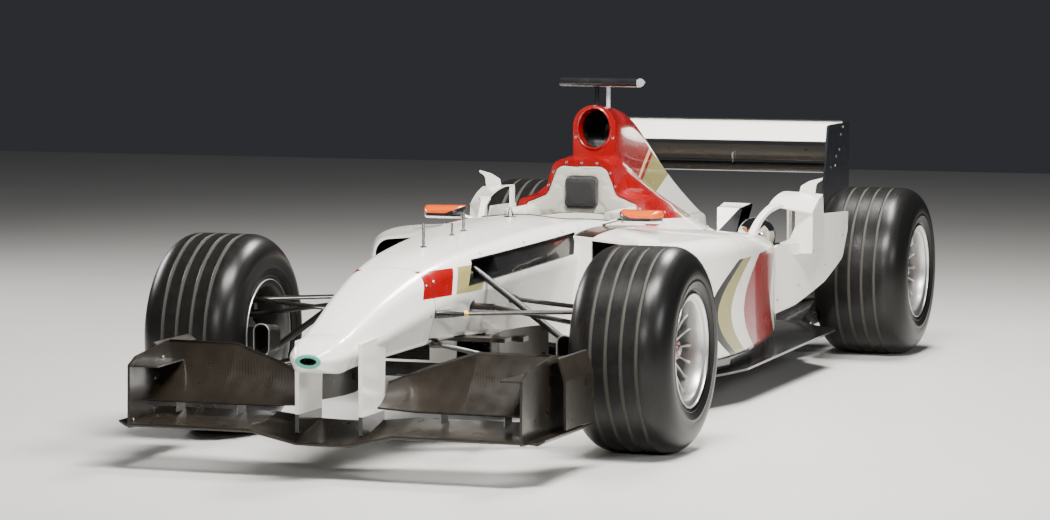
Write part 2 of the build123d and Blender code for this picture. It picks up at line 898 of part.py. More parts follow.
def side_prism_sharp(points, half):
    """A sharp-cornered prism across the car, half its width to each side."""
    flat = [(at(behind), z) for behind, z in points]
    return extrude(side_plane(0) * make_face(Polyline(*flat, close=True)), half, both=True)


# Suspension. Each arm: inner station, inner y, inner z
kingpin_y = front_track / 2 - kingpin_inset
upper_ball_z = 446.0
lower_ball_z = 212.0
ball_boss = 15.0
boss_half = 11.0
pin_radius = 7.0
push_radius = 11.0
front_upper_arms = [(-360, 168, 456), (250, 196, 452)]
front_lower_arms = [(-290, 120, 356), (300, 160, 300)]
rear_pin_inset = 105.0
rear_upper_arms = [(wheelbase - 420, 128, 410), (wheelbase + 50, 84, 400)]
rear_lower_arms = [(wheelbase - 500, 130, 225), (wheelbase + 60, 70, 285)]
rear_ball_y = rear_track / 2 - rear_pin_inset
rear_upper_z = 440.0
rear_lower_z = 215.0


def wishbone(arms, ball_behind, ball_y, ball_z, thick):
    body = None
    for behind, y, z in arms:
        arm = blade_rod((at(behind), y - 12, z), (at(ball_behind), ball_y, ball_z), 26, thick)
        body = arm if body is None else body + arm
    boss = Pos(at(ball_behind), ball_y, ball_z) * Cylinder(ball_boss, 2 * boss_half)
    bore = Pos(at(ball_behind), ball_y, ball_z) * Cylinder(pin_radius + bearing_clearance, 60)
    return (body + boss) - bore


def front_wishbones():
    upper = wishbone(front_upper_arms, 0, kingpin_y, upper_ball_z, 15) - hull
    lower = wishbone(front_lower_arms, 0, kingpin_y, lower_ball_z, 15) - hull
    push = rod((at(0), 120, 592), (at(0), kingpin_y - 66, lower_ball_z + 62), push_radius)
    return [largest(upper), largest(lower), largest(push - hull_with_bay() - lower)]


def hull_with_bay():
    side = side_prism(bay_points, bay_inner + 0.2, 320, 10)
    return hull - side


def rear_links():
    tail = tail_shape + cover_shape + diffuser_shape
    upper = wishbone(rear_upper_arms, wheelbase, rear_ball_y, rear_upper_z, 16) - tail - pod_left
    lower = wishbone(rear_lower_arms, wheelbase, rear_ball_y, rear_lower_z, 16) - tail - pod_left
    upper, lower = largest(upper), largest(lower)
    rocker = (at(wheelbase - 240), 100, 420)
    push = rod(rocker, (at(wheelbase - 20), rear_ball_y - 60, rear_lower_z + 40), push_radius)
    return [upper, lower, largest(push - tail - upper - lower - pod_left)]


# Wheels. Each is turned about its axle, so its profile is drawn as radius against y.
def turned_ring(points):
    """A ring about Y. The points are (y, radius), drawn in the YZ plane."""
    face = Plane(origin=(0, 0, 0), x_dir=(0, 1, 0), z_dir=(1, 0, 0)) * make_face(Polyline(*points, close=True))
    return revolve(face, Axis.Y, 360)


def tyre(width):
    half = width / 2
    flat = half - tyre_shoulder
    bead = half - bead_inset
    frame = Plane(origin=(0, 0, 0), x_dir=(0, 1, 0), z_dir=(1, 0, 0))
    lean = tyre_shoulder * (1 - cos(radians(45)))
    wall = [
        (half, tyre_radius - tyre_shoulder), (half - 6, 205),
        (bead, rim_flange_radius + 1), (bead, rim_seat_radius),
    ]
    bend = (half - lean, tyre_radius - lean * 0.96)
    left_arc = ThreePointArc((flat, tyre_radius), bend, wall[0])
    right_arc = ThreePointArc((-half, wall[0][1]), (-bend[0], bend[1]), (-flat, tyre_radius))
    side = wall + [(-y, radius) for y, radius in reversed(wall)]
    tread = Line((-flat, tyre_radius), (flat, tyre_radius))
    body = revolve(frame * make_face([left_arc, Polyline(*side), right_arc, tread]), Axis.Y, 360)
    first = -groove_pitch * (groove_count - 1) / 2
    for index in range(groove_count):
        y = first + index * groove_pitch
        top = groove_width / 2
        foot = top * 0.7
        cut = turned_ring([
            (y - foot, tyre_radius - groove_depth), (y + foot, tyre_radius - groove_depth),
            (y + top, tyre_radius + 2), (y - top, tyre_radius + 2),
        ])
        body = body - cut
    return body


# Axle flange that carries the wheel, and the disc's bell
flange_radius = stub_radius + 12
hub_outer = 52.0
bell_radius = 62.0


def hub_face(width):
    """Where the wheel's hub ends outboard, from the middle of the tyre."""
    return width / 2 - bead_inset + rim_inset - spoke_depth


def rim(width):
    """One-piece wheel for the car's left: flange, barrel and slim swept spokes."""
    bead = width / 2 - bead_inset
    lip = bead + rim_inset
    wall = rim_seat_radius - rim_wall
    flange = [
        (bead, rim_seat_radius), (bead, rim_flange_radius), (lip, rim_flange_radius),
        (lip, rim_flange_radius - rim_flange_wall),
        (bead + rim_flange_wall + 1, rim_flange_radius - 2 * rim_flange_wall),
        (bead + rim_flange_wall, rim_seat_radius - 2), (bead - 2, wall),
    ]
    barrel = turned_ring(flange + [(-y, radius) for y, radius in reversed(flange)])
    face_y = hub_face(width)
    root_y = face_y - 13
    tip_y = root_y + spoke_rise
    hub = turned_ring([
        (face_y - 26, flange_radius), (face_y - 26, hub_outer), (face_y - 4, hub_outer + 2),
        (face_y, hub_outer - 8), (face_y, flange_radius),
    ])
    body = barrel + hub
    leg = loft([
        Pos(0, root_y, hub_outer - 6) * Rectangle(*spoke_root),
        Pos(0, tip_y, wall + 3) * Rectangle(*spoke_tip),
    ])
    for index in range(spoke_count):
        body = body + Rot(0, 360.0 * (index + 0.5) / spoke_count, 0) * leg
    return body


def hub(width, inner_reach):
    """Axle flange, brake disc and wheel nut, which turn with the wheel."""
    face_y = hub_face(width)
    shaft = turned_ring([
        (-inner_reach, 0), (-inner_reach, stub_radius), (face_y - 26, stub_radius),
        (face_y - 26, flange_radius), (face_y, flange_radius), (face_y, 0),
    ])
    disc = turned_ring([
        (disc_offset - disc_thickness / 2, bell_radius - 2), (disc_offset - disc_thickness / 2, disc_radius),
        (disc_offset + disc_thickness / 2, disc_radius), (disc_offset + disc_thickness / 2, bell_radius - 2),
    ])
    bell = turned_ring([
        (disc_offset - 6, stub_radius - 1), (disc_offset - 6, bell_radius),
        (disc_offset + 6, bell_radius), (disc_offset + 6, stub_radius - 1),
    ])
    nut_face = Plane(origin=(0, face_y, 0), x_dir=(1, 0, 0), z_dir=(0, 1, 0))
    nut = extrude(nut_face * RegularPolygon(nut_across_flats / 2, 6, major_radius=False), nut_height)
    return shaft + disc + bell + nut


# Uprights: the axle's bearing tube, the spine between the ball pins and the brake caliper
bearing_inner = -98.0
bearing_outer = -46.0
bearing_wall = 22.0
spine_half = 30.0
lug_half = 13.0
lug_gap = 5.0
lug_thick = 18.0
axle_room = 40.0
caliper_radii = (100.0, 148.0)
caliper_sides = (-40.0, 4.0)


def upright_core(pin_y, low_z, high_z):
    """Bearing tube and spine, with a lug and a pin for each of the two wishbones."""
    bore = stub_radius + bearing_clearance
    body = turned_ring([
        (bearing_inner, bore), (bearing_inner, stub_radius + bearing_wall),
        (bearing_outer, stub_radius + bearing_wall), (bearing_outer, bore),
    ])
    low, high = low_z - tyre_radius, high_z - tyre_radius
    first = boss_half + lug_gap
    spine = box_between(
        (-spine_half, pin_y + 20, low + first + 4), (spine_half, bearing_outer - 6, high - first - 4)
    )
    body = body + (spine - Rot(90, 0, 0) * Cylinder(axle_room, 400))
    for ball_z, up in ((high, -1), (low, 1)):
        near = ball_z + up * first
        far = near + up * lug_thick
        end = ball_z - up * (boss_half + 3)
        lug = box_between((-lug_half, pin_y - lug_half, near), (lug_half, bearing_outer - 6, far))
        pin = Pos(0, pin_y, (end + far) / 2) * Cylinder(pin_radius, abs(far - end) - 2)
        body = body + lug + pin
    return body


def caliper(fore):
    """Brake caliper around the disc, ahead of the axle or behind it, on its bracket."""
    inner, outer = caliper_radii
    low, high = caliper_sides
    ring = turned_ring([(low, inner), (low, outer), (high, outer), (high, inner)])
    body = ring & box_between((fore * 60, low - 20, -70), (fore * 160, high + 16, 70))
    bracket = box_between((fore * 20, bearing_outer - 12, -30), (fore * 110, low, 30))
    return body + (bracket - Rot(90, 0, 0) * Cylinder(axle_room, 400))


def disc_room():
    gap = disc_thickness / 2 + disc_gap
    radius = disc_radius + disc_gap
    return turned_ring([
        (disc_offset - gap, 0), (disc_offset - gap, radius),
        (disc_offset + gap, radius), (disc_offset + gap, 0),
    ])


arm_pin_radius = 5.0


def knuckle():
    """Front upright for the left, standing at its own axle centre.

    It carries the axle bearing, both ball pins, the steering arm, the caliper and the brake duct."""
    pin_y = -kingpin_inset
    arm_z = steering_arm_height - tyre_radius
    arm = box_between((0, pin_y - 2, arm_z - 16), (steering_arm + 10, pin_y + 22, arm_z - 4))
    arm_pin = Pos(steering_arm, pin_y + 6, arm_z + 2) * Cylinder(arm_pin_radius, 18)
    duct = loft([
        Plane(origin=(62, -205, -2), x_dir=(0, 1, 0), z_dir=(1, 0, 0)) * RectangleRounded(44, 84, 20),
        Plane(origin=(176, -208, 0), x_dir=(0, 1, 0), z_dir=(1, 0, 0)) * RectangleRounded(56, 106, 26),
    ])
    duct_bore = loft([
        Plane(origin=(74, -205, -2), x_dir=(0, 1, 0), z_dir=(1, 0, 0)) * RectangleRounded(36, 76, 16),
        Plane(origin=(178, -208, 0), x_dir=(0, 1, 0), z_dir=(1, 0, 0)) * RectangleRounded(50, 100, 23),
    ])
    throat = box_between((34, -186, -34), (74, -66, 30)) - Rot(90, 0, 0) * Cylinder(axle_room, 250)
    body = upright_core(pin_y, lower_ball_z, upper_ball_z) + arm + arm_pin + duct + throat + caliper(-1)
    return body - disc_room() - duct_bore


def rear_upright():
    """Rear upright for the left, at its own axle centre, held by the ball joints."""
    body = upright_core(-rear_pin_inset, rear_lower_z, rear_upper_z) + caliper(1)
    return body - disc_room()


def steering_rack():
    """Rack bar through the tub, with a track rod and an open eye at each end."""
    pin_y = kingpin_y + 6
    eye_z = steering_arm_height + 2
    half = rod((at(rack_behind), 0, rack_height), (at(rack_behind), rack_half, rack_height), rack_bar)
    joint = (at(rack_behind), rack_half - 5, rack_height)
    half = half + rod(joint, (at(rack_behind), pin_y - eye_radius + 2, eye_z), rod_radius)
    eye_bore = arm_pin_radius + eye_swing + eye_margin
    eye = Pos(at(rack_behind), pin_y, eye_z) * (Cylinder(eye_radius, 9) - Cylinder(eye_bore, 40))
    half = (half - Pos(at(rack_behind), pin_y, eye_z) * Cylinder(eye_bore, 60)) + eye
    return half + other_side(half)


nodes = {}


def keep(name, shape):
    pieces = solids_of(shape)
    body = pieces[0] if len(pieces) == 1 else Compound(children=pieces)
    nodes[name] = body
    return body


nose_cone_shape = keep("nose_cone", nose_cone())
tub_shape = keep("monocoque", monocoque())
keep("front_wing_plane", front_wing_plane())
keep("front_wing_flaps", front_wing_flaps())
endplate_left = front_endplate() - nodes["front_wing_plane"] - nodes["front_wing_flaps"]
keep("front_wing_endplates", both_sides(endplate_left))
keep("turning_vanes", both_sides(turning_vane()))
keep("floor", floor())
keep("plank", plank())
pod_left = sidepod()
keep("sidepods", both_sides(pod_left))
keep("radiators", both_sides(radiator() - pod_left))
keep("engine", engine())
gearbox_shape = keep("gearbox", gearbox())
tail_shape = gearbox_shape + crash_structure()
keep("crash_structure", crash_structure())
keep("rain_light", rain_light())
cover_shape = keep("engine_cover", engine_cover() - gearbox_shape)
keep("headrest_collar", headrest_collar())
keep("head_pad", head_pad())
keep("seat", seat() - tub_shape)
keep("steering_wheel", steering_wheel())
keep("dash", dash())
keep("mirrors", both_sides(mirror_unit()))
keep("nose_masts", nose_masts())
keep("camera_wing", camera_wing())
keep("flip_ups", both_sides(flip_up()))
chimney_left = chimney()
keep("exhaust_outlets", [both_sides(chimney_left), both_sides(exhaust_shield())])
keep("rear_wing", [rear_wing(), beam_wing()])
keep("rear_endplates", both_sides(rear_endplate()))
diffuser_shape = keep("diffuser", diffuser() - gearbox_shape)
keep("front_links", [both_sides(link) for link in front_wishbones()])
keep("rear_links", [both_sides(link) for link in rear_links()])
keep("rear_uprights", both_sides(Pos(rear_axle_x, rear_track / 2, tyre_radius) * rear_upright()))
keep("steering_rack", steering_rack())

knuckle_left = Pos(front_axle_x, front_track / 2, tyre_radius) * knuckle()
keep("knuckle_left", knuckle_left)
keep("knuckle_right", other_side(knuckle_left))

# corner: axle x, track, tyre width, how far the shaft reaches inboard
corners = {
    "front": (front_axle_x, front_track, front_tyre_width, 98.0),
    "rear": (rear_axle_x, rear_track, rear_tyre_width, rear_track / 2 - 130),
}
for corner, (axle_x, track, width, reach) in corners.items():
    place = Pos(axle_x, track / 2, tyre_radius)
    for kind, shape in (("tyre", tyre(width)), ("rim", rim(width)), ("hub", hub(width, reach))):
        left = place * shape
        keep(f"{kind}_{corner}_left", left)
        keep(f"{kind}_{corner}_right", other_side(left))

for name, shape in nodes.items():
    export_step(shape, f"parts/{name}.step")
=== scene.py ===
import math

import bmesh
import bpy
from mathutils import Matrix, Vector
from mathutils.bvhtree import BVHTree


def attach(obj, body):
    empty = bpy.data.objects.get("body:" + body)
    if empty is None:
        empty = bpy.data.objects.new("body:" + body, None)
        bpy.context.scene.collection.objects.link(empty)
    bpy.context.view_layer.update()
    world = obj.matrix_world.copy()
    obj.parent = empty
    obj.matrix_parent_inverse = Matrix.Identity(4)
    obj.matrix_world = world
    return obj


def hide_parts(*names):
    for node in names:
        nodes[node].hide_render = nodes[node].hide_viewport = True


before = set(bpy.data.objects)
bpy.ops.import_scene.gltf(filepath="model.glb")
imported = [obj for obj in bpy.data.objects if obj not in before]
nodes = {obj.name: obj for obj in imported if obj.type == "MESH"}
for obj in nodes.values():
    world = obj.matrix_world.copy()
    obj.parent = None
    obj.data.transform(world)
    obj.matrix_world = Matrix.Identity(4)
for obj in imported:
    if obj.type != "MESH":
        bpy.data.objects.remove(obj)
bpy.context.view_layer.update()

# places shared with the part's source, in metres
layout = {
    "frontAxleX": 1.2525,
    "rearAxleX": -1.8875,
    "frontHalfTrack": 0.730,
    "rearHalfTrack": 0.710,
    "tyreRadius": 0.330,
    "frontTyreWidth": 0.340,
    "rearTyreWidth": 0.375,
    "wheelbase": 3.140,
}
sharpAngle = 32   # degrees: edges that bend more than this are shaded sharp


def behind(distance):
    # lengths along the car are measured back from the front axle
    return layout["frontAxleX"] - distance


cameraSet = {
    "place": (12.4285, 4.229, 1.590),
    "yaw": 199.2514,
    "pitch": -4.7685,
    "roll": 0.12,
    "lens": 126.46,
    "sensorWidth": 36,
    "farEnd": 200,
}


def makeCamera():
    yaw, pitch, roll = (math.radians(cameraSet[k]) for k in ("yaw", "pitch", "roll"))
    look = Vector((math.cos(yaw) * math.cos(pitch), math.sin(yaw) * math.cos(pitch), math.sin(pitch)))
    data = bpy.data.cameras.new("photoCamera")
    data.lens = cameraSet["lens"]
    data.sensor_width = cameraSet["sensorWidth"]
    data.clip_end = cameraSet["farEnd"]
    cam = bpy.data.objects.new("photoCamera", data)
    bpy.context.scene.collection.objects.link(cam)
    turn = look.to_track_quat("-Z", "Y").to_matrix() @ Matrix.Rotation(roll, 3, "Z")
    cam.matrix_world = Matrix.Translation(cameraSet["place"]) @ turn.to_4x4()
    bpy.context.scene.camera = cam


makeCamera()
print("camera set")


# one value on its way through a finish's nodes: sums and masks of wires read as plain sums,
# & keeps what both masks hold, | what either holds, ~ turns a mask over, > and < are film-sharp edges
class Wire:
    def __init__(self, socket):
        self.socket = socket

    def __add__(self, other):
        return calc("ADD", self, other)

    def __sub__(self, other):
        return calc("SUBTRACT", self, other)

    def __rsub__(self, other):
        return calc("SUBTRACT", other, self)

    def __mul__(self, other):
        return calc("MULTIPLY", self, other)

    def __truediv__(self, other):
        return calc("DIVIDE", self, other)

    def __abs__(self):
        return calc("ABSOLUTE", self)

    def __and__(self, other):
        return calc("MULTIPLY", self, other)

    def __or__(self, other):
        return calc("MAXIMUM", self, other)

    def __invert__(self):
        return 1.0 - self

    def __gt__(self, edge):
        return above(self, edge)

    def __lt__(self, edge):
        return below(self, edge)


def feed(socket, value):
    if isinstance(value, Wire):
        socket.id_data.links.new(value.socket, socket)
    else:
        socket.default_value = value


def addNode(kind, links, output=0, **settings):
    # a node joins the tree that its first wire comes from
    first = next(value for value in links.values() if isinstance(value, Wire))
    node = first.socket.id_data.nodes.new(kind)
    for key, value in settings.items():
        setattr(node, key, value)
    for key, value in links.items():
        feed(node.inputs[key], value)
    return Wire(node.outputs[output])


def newFinish(name):
    finish = bpy.data.materials.new(name)
    finish.use_nodes = True
    tree = finish.node_tree
    return finish, tree, tree.nodes["Principled BSDF"].inputs


def axes(tree, kind="Object"):
    spot = Wire(tree.nodes.new("ShaderNodeTexCoord").outputs[kind])
    split = tree.nodes.new("ShaderNodeSeparateXYZ")
    feed(split.inputs[0], spot)
    return (spot,) + tuple(Wire(socket) for socket in split.outputs)


def calc(operation, a, b=0.0, **settings):
    return addNode("ShaderNodeMath", {0: a, 1: b}, operation=operation, **settings)


def over(mask, under, top):
    # lays a colour over another where the mask is one
    return addNode("ShaderNodeMix", {"Factor": mask, "A": under, "B": top}, "Result", data_type="RGBA")


filmEdge = 0.0008   # half the width over which one colour gives way to the next


def above(value, edge, soft=filmEdge):
    return addNode("ShaderNodeMapRange", {"Value": value, "From Min": edge - soft, "From Max": edge + soft})


def below(value, edge, soft=filmEdge):
    return ~above(value, edge, soft)


def between(value, low, high):
    return above(value, low) & below(value, high)


def noise(vector, scale, detail=3.0, rough=0.5):
    links = {"Vector": vector, "Scale": scale, "Detail": detail, "Roughness": rough}
    return addNode("ShaderNodeTexNoise", links)


def bands(vector, scale, direction, ripple=0.0):
    links = {"Vector": vector, "Scale": scale, "Distortion": ripple}
    return addNode("ShaderNodeTexWave", links, "Fac", wave_type="BANDS", bands_direction=direction)


def spread(value, low, high, fromLow=0.3, fromHigh=0.7):
    # noise lies mostly between the last two, and is spread over the first two
    links = {"Value": value, "From Min": fromLow, "From Max": fromHigh, "To Min": low, "To Max": high}
    return addNode("ShaderNodeMapRange", links)


def bump(height, strength, distance, normal=None):
    links = {"Height": height, "Strength": strength, "Distance": distance}
    if normal is not None:
        links["Normal"] = normal
    return addNode("ShaderNodeBump", links)


def stretched(vector, scale):
    return addNode("ShaderNodeMapping", {"Vector": vector, "Scale": scale})


def hypotenuse(a, b):
    return calc("SQRT", a * a + b * b)


def ovalReach(a, b, middleA, middleB, halfA, halfB):
    # how far a point is from an oval's middle, one being the oval itself
    spot = addNode("ShaderNodeCombineXYZ", {0: (a - middleA) / halfA, 1: (b - middleB) / halfB})
    return addNode("ShaderNodeVectorMath", {0: spot}, "Value", operation="LENGTH")


# colours of the livery, set against the photograph
livery = {
    "white": (0.860, 0.840, 0.780, 1),
    "red": (0.270, 0.0008, 0.0022, 1),
    "olive": (0.330, 0.300, 0.115, 1),
    "black": (0.010, 0.010, 0.011, 1),
    "green": (0.022, 0.050, 0.030, 1),
    "teal": (0.100, 0.420, 0.330, 1),
    "orange": (0.620, 0.085, 0.002, 1),
    "cream": (0.800, 0.560, 0.300, 1),
    "paleGrey": (0.520, 0.530, 0.550, 1),
}
carbon = {
    "tow": 0.0022,
    "dark": (0.0060, 0.0050, 0.0036, 1),
    "light": (0.0270, 0.0205, 0.0140, 1),
    "dust": (0.0520, 0.0420, 0.0300, 1),
    "specular": 0.36,
    "coatRoughness": 0.09,
}
gloss = {
    "film": (0.50, 0.46, 0.38, 1),
    "filmMost": 0.035,
    "barePatch": 0.45,
    "seamTone": (0.020, 0.018, 0.016, 1),
    "seamDark": 0.85,
    "seamHalf": 0.0012,
    "seamSoft": 0.0005,
    "roughness": (0.20, 0.28),
    "specular": 0.38,
    "coat": 0.62,
    "coatRoughness": 0.03,
    "coatIor": 1.45,
}


def twill(x, y, z):
    # two over, two under: tows cross in steps of one, and the shift keeps the count above nought
    along = (x + z * 0.35) / carbon["tow"]
    across = (y + z * 0.70) / carbon["tow"]
    count = calc("FLOOR", along) + calc("FLOOR", across) + 4000.0
    return calc("GREATER_THAN", calc("MODULO", count, 4.0), 1.5)


def seamAt(value, place):
    return below(abs(value - place), gloss["seamHalf"], gloss["seamSoft"])


def glossPaint(name, colourOf):
    # colourOf gives the painted colour, the panel gaps and where the carbon is left bare
    finish, tree, shader = newFinish(name)
    vector, x, y, z = axes(tree)
    colour, seams, bare = colourOf(tree, x, y, z)
    film = spread(noise(vector, 7.0, 5.0, 0.6), 0.0, gloss["filmMost"], 0.45, 0.8)
    colour = over(film, colour, gloss["film"])
    if bare is not None:
        weave = over(twill(x, y, z) * gloss["barePatch"], carbon["dark"], carbon["light"])
        colour = over(bare, colour, weave)
    peel = bump(noise(vector, 420.0, 2.0), 0.04, 0.0003)
    if seams is not None:
        colour = over(seams * gloss["seamDark"], colour, gloss["seamTone"])
        peel = bump(~seams, 0.5, 0.0010, peel)
    feed(shader["Base Color"], colour)
    feed(shader["Roughness"], spread(noise(vector, 26.0), *gloss["roughness"]))
    feed(shader["Specular IOR Level"], gloss["specular"])
    feed(shader["Coat Weight"], gloss["coat"])
    feed(shader["Coat Roughness"], gloss["coatRoughness"])
    feed(shader["Coat IOR"], gloss["coatIor"])
    feed(shader["Normal"], peel)
    feed(shader["Coat Normal"], peel)
    return finish


noseLook = {
    "flashLow": 0.505,
    "flashHigh": 0.588,
    "flashLean": 0.63,
    "flashSide": 0.088,
    "flashes": (("red", 0.252, 0.437), ("olive", 0.030, 0.222)),   # ahead of the front axle
    "tipFrom": -1.0,
    "holeHeight": 0.368,
    "holeRim": (0.042, 0.022),
    "holeMouth": (0.0285, 0.0115),
    "holeSoft": 0.03,
    "mouthFrom": -1.030,
    "mouthTo": -0.960,
    "bulkhead": -0.370,
    "footTop": 0.186,
    "footBack": -0.60,
}


def nosePaint(tree, x, y, z):
    look = noseLook
    colour = livery["white"]
    # both side flashes lean back as they rise
    lean = (z - look["flashLow"]) * look["flashLean"] + x - behind(0)
    flank = between(z, look["flashLow"], look["flashHigh"]) & (abs(y) > look["flashSide"])
    for tone, low, high in look["flashes"]:
        colour = over(flank & between(lean, low, high), colour, livery[tone])
    # a teal ring round the tip's air hole, and its inside painted black as painted shade
    rim = ovalReach(y, z, 0.0, look["holeHeight"], *look["holeRim"])
    ring = below(rim, 1.0, look["holeSoft"]) & (x > behind(look["tipFrom"]))
    colour = over(ring, colour, livery["teal"])
    mouth = ovalReach(y, z, 0.0, look["holeHeight"], *look["holeMouth"])
    along = between(x, behind(look["mouthTo"]), behind(look["mouthFrom"]))
    deep = below(mouth, 1.0, look["holeSoft"]) & along
    colour = over(deep, colour, livery["black"])
    foot = (z < look["footTop"]) & (x > behind(look["footBack"]))
    return colour, seamAt(x, behind(look["bulkhead"])), foot


tubLook = {
    "cockpit": (1.562, 0.902),
    "cockpitHalf": 0.2165,
    "wallLow": 0.560,
    "hatchRoof": (0.0336, 0.6065),   # rise a metre back, height at the front axle
    "hatchSill": (0.0437, 0.5290),
    "hatchFront": -0.130,
    "hatchLean": (0.524, 0.825, -0.129),   # height, lean and place of the front edge
    "hatchBack": (0.562, 0.817, 0.743),
    "keelSlope": 0.06,
    "keelTop": 0.356,
    "keelHalf": 0.200,
    "keelBack": 1.00,
    "underside": 0.158,
    "seam": 0.86,
    "seamFrom": 0.52,
    "turnSoft": 0.05,
}


def tubPaint(tree, x, y, z):
    look = tubLook
    colour, seams, foot = nosePaint(tree, x, y, z)
    away = abs(y)
    # inside the opening the walls are bare: they face inwards or lie low
    nx, ny = axes(tree, "Normal")[1:3]
    outwards = ny * calc("SIGN", y)
    wall = below(outwards, -0.3, look["turnSoft"]) | below(nx, -0.5, look["turnSoft"]) | (z < look["wallLow"])
    cockpit = between(x, *(behind(d) for d in look["cockpit"]))
    inner = cockpit & (away < look["cockpitHalf"]) & wall
    # the damper hatch is gloss black between two rising lines and two leaning ends
    station = behind(0) - x
    (roofRise, roofZ), (sillRise, sillZ) = look["hatchRoof"], look["hatchSill"]
    (frontZ, frontLean, front), (backZ, backLean, back) = look["hatchLean"], look["hatchBack"]
    tall = (z > station * sillRise + sillZ) & (z < station * roofRise + roofZ)
    hatch = tall & (station > look["hatchFront"])
    hatch = hatch & (station - (z - frontZ) * frontLean > front) & (station - (z - backZ) * backLean < back)
    colour = over(hatch, colour, livery["black"])
    keel = (z - (x - behind(0)) * look["keelSlope"] < look["keelTop"]) & (x > behind(look["keelBack"]))
    bare = inner | keel & (away < look["keelHalf"]) | (z < look["underside"])
    return colour, seams | seamAt(x, behind(look["seam"])) & (z > look["seamFrom"]), bare


podLook = {
    "bandTop": 0.512,
    "bandSide": 0.45,
    "bandMiddle": 0.33,
    "bandBend": 7.0,
    # tone, and where it starts and ends ahead of the front axle
    "bands": (
        ("black", -1.133, -1.078), ("olive", -1.236, -1.133),
        ("red", -1.835, -1.368), ("green", -1.965, -1.915),
    ),
    "seams": (1.33, 2.20),
    "seamFrom": 0.40,
    "duct": (1.462, 0.784),
    "ductSide": 0.2975,
    "ductFloor": 0.22,
    "turnSoft": 0.05,
    "slotPlace": (1.940, 0.430),
    "slotHalf": (0.045, 0.005),
    "slotSoft": 0.08,
    "slotFrom": 0.46,
    "underside": 0.165,
}


def podPaint(tree, x, y, z):
    look = podLook
    colour = livery["white"]
    away = abs(y)
    rise = z - look["bandMiddle"]
    along = rise * rise * look["bandBend"] + x - behind(0)
    side = (away > look["bandSide"]) & (z < look["bandTop"])
    for tone, start, end in look["bands"]:
        colour = over(side & between(along, start, end), colour, livery[tone])
    front, back = look["seams"]
    seams = (seamAt(x, behind(front)) | seamAt(x, behind(back))) & (z > look["seamFrom"])
    # the duct behind the inlet is bare: its walls face inwards
    ny, nz = axes(tree, "Normal")[2:]
    outwards = ny * calc("SIGN", y)
    inward = below(outwards, -0.25, look["turnSoft"]) | below(nz, -0.35, look["turnSoft"])
    inward = inward | (away < look["ductSide"]) | above(nz, 0.6, look["turnSoft"]) & (z < look["ductFloor"])
    duct = between(x, *(behind(d) for d in look["duct"])) & inward
    # a narrow louvre in the pod's shoulder
    slotX, slotY = look["slotPlace"]
    slot = below(ovalReach(x, away, behind(slotX), slotY, *look["slotHalf"]), 1.0, look["slotSoft"])
    return colour, seams, duct | slot & (z > look["slotFrom"]) | (z < look["underside"])


coverLook = {
    "redEnd": (2.02, 0.671, -1.9),   # place, the height it holds at, and its lean
    "oliveEnd": (2.24, 0.645, -3.4),
    "fieldFrom": (1.55, 0.628, 0.05),
    "markWidth": 0.050,
    "markAhead": 0.052,
    "markFrom": 0.745,
    "archBack": 1.64,
    "archFrom": 0.60,
    "intakeFront": 1.690,
    "intakeDeep": 0.270,
    "intakeHeight": (0.946, -0.030),   # at the mouth, and its change over the depth
    "intakeWide": (0.063, -0.018),
    "intakeHigh": (0.0755, -0.024),
    "redDepth": 1.742,
    "seamX": 1.99,
    "seamZ": 0.556,
    "seamFrom": 1.62,
}


def coverPaint(tree, x, y, z):
    look = coverLook

    def leaning(place, height, lean):
        return (z - height) * lean + behind(place)

    # the red field ends on a line that leans forward as it comes down, the olive one on a flatter line
    redEnd, oliveEnd = leaning(*look["redEnd"]), leaning(*look["oliveEnd"])
    place, height, slope = look["fieldFrom"]
    upper = z > (x - behind(place)) * slope + height
    colour = over((x > oliveEnd) & upper, livery["white"], livery["olive"])
    colour = over((x > redEnd) & upper, colour, livery["red"])
    markBack = redEnd + look["markAhead"]
    mark = between(x, markBack, markBack + look["markWidth"]) & (z > look["markFrom"])
    colour = over(mark, colour, livery["cream"])
    colour = over((x > behind(look["archBack"])) & (z > look["archFrom"]), colour, livery["red"])
    # the intake is red a hand's depth in, then bare
    depth = calc("DIVIDE", behind(look["intakeFront"]) - x, look["intakeDeep"], use_clamp=True)
    growth = (look["intakeHeight"], look["intakeWide"], look["intakeHigh"])
    oval = [depth * change + start for start, change in growth]
    bare = below(ovalReach(y, z, 0.0, *oval), 1.0, 0.02) & below(x, behind(look["redDepth"]), 0.004)
    seams = (seamAt(x, behind(look["seamX"])) | seamAt(z, look["seamZ"])) & (x < behind(look["seamFrom"]))
    return colour, seams, bare


def flipPaint(tree, x, y, z):
    return livery["white"], None, None


wingLook = {"paintFrom": 0.815}


def wingPaint(tree, x, y, z):
    # the top flap is painted, the elements below it are bare
    return livery["white"], None, z < wingLook["paintFrom"]


mirrorLook = {
    "blackTop": 0.6555,
    "orangeFrom": 0.6665,
    "orangeRise": 0.42,
    "risesWithin": 0.345,
    "stalkWithin": 0.286,
}


def mirrorPaint(tree, x, y, z):
    # white below, a black line, and orange above it that climbs towards the stalk
    away = abs(y)
    climb = calc("MAXIMUM", mirrorLook["risesWithin"] - away, 0.0) * mirrorLook["orangeRise"]
    colour = over(z > mirrorLook["blackTop"], livery["white"], livery["black"])
    colour = over(z > climb + mirrorLook["orangeFrom"], colour, livery["orange"])
    return over(away < mirrorLook["stalkWithin"], colour, livery["white"]), None, None


cameraBarLook = {"endFace": 0.1492, "stalkSide": 0.004, "stalkTop": 1.098}


def cameraPaint(tree, x, y, z):
    # a black bar with a pale end face, one stalk black and one pale
    pale = (y > cameraBarLook["endFace"]) | (y > cameraBarLook["stalkSide"]) & (z < cameraBarLook["stalkTop"])
    return over(pale, livery["black"], livery["paleGrey"]), None, None


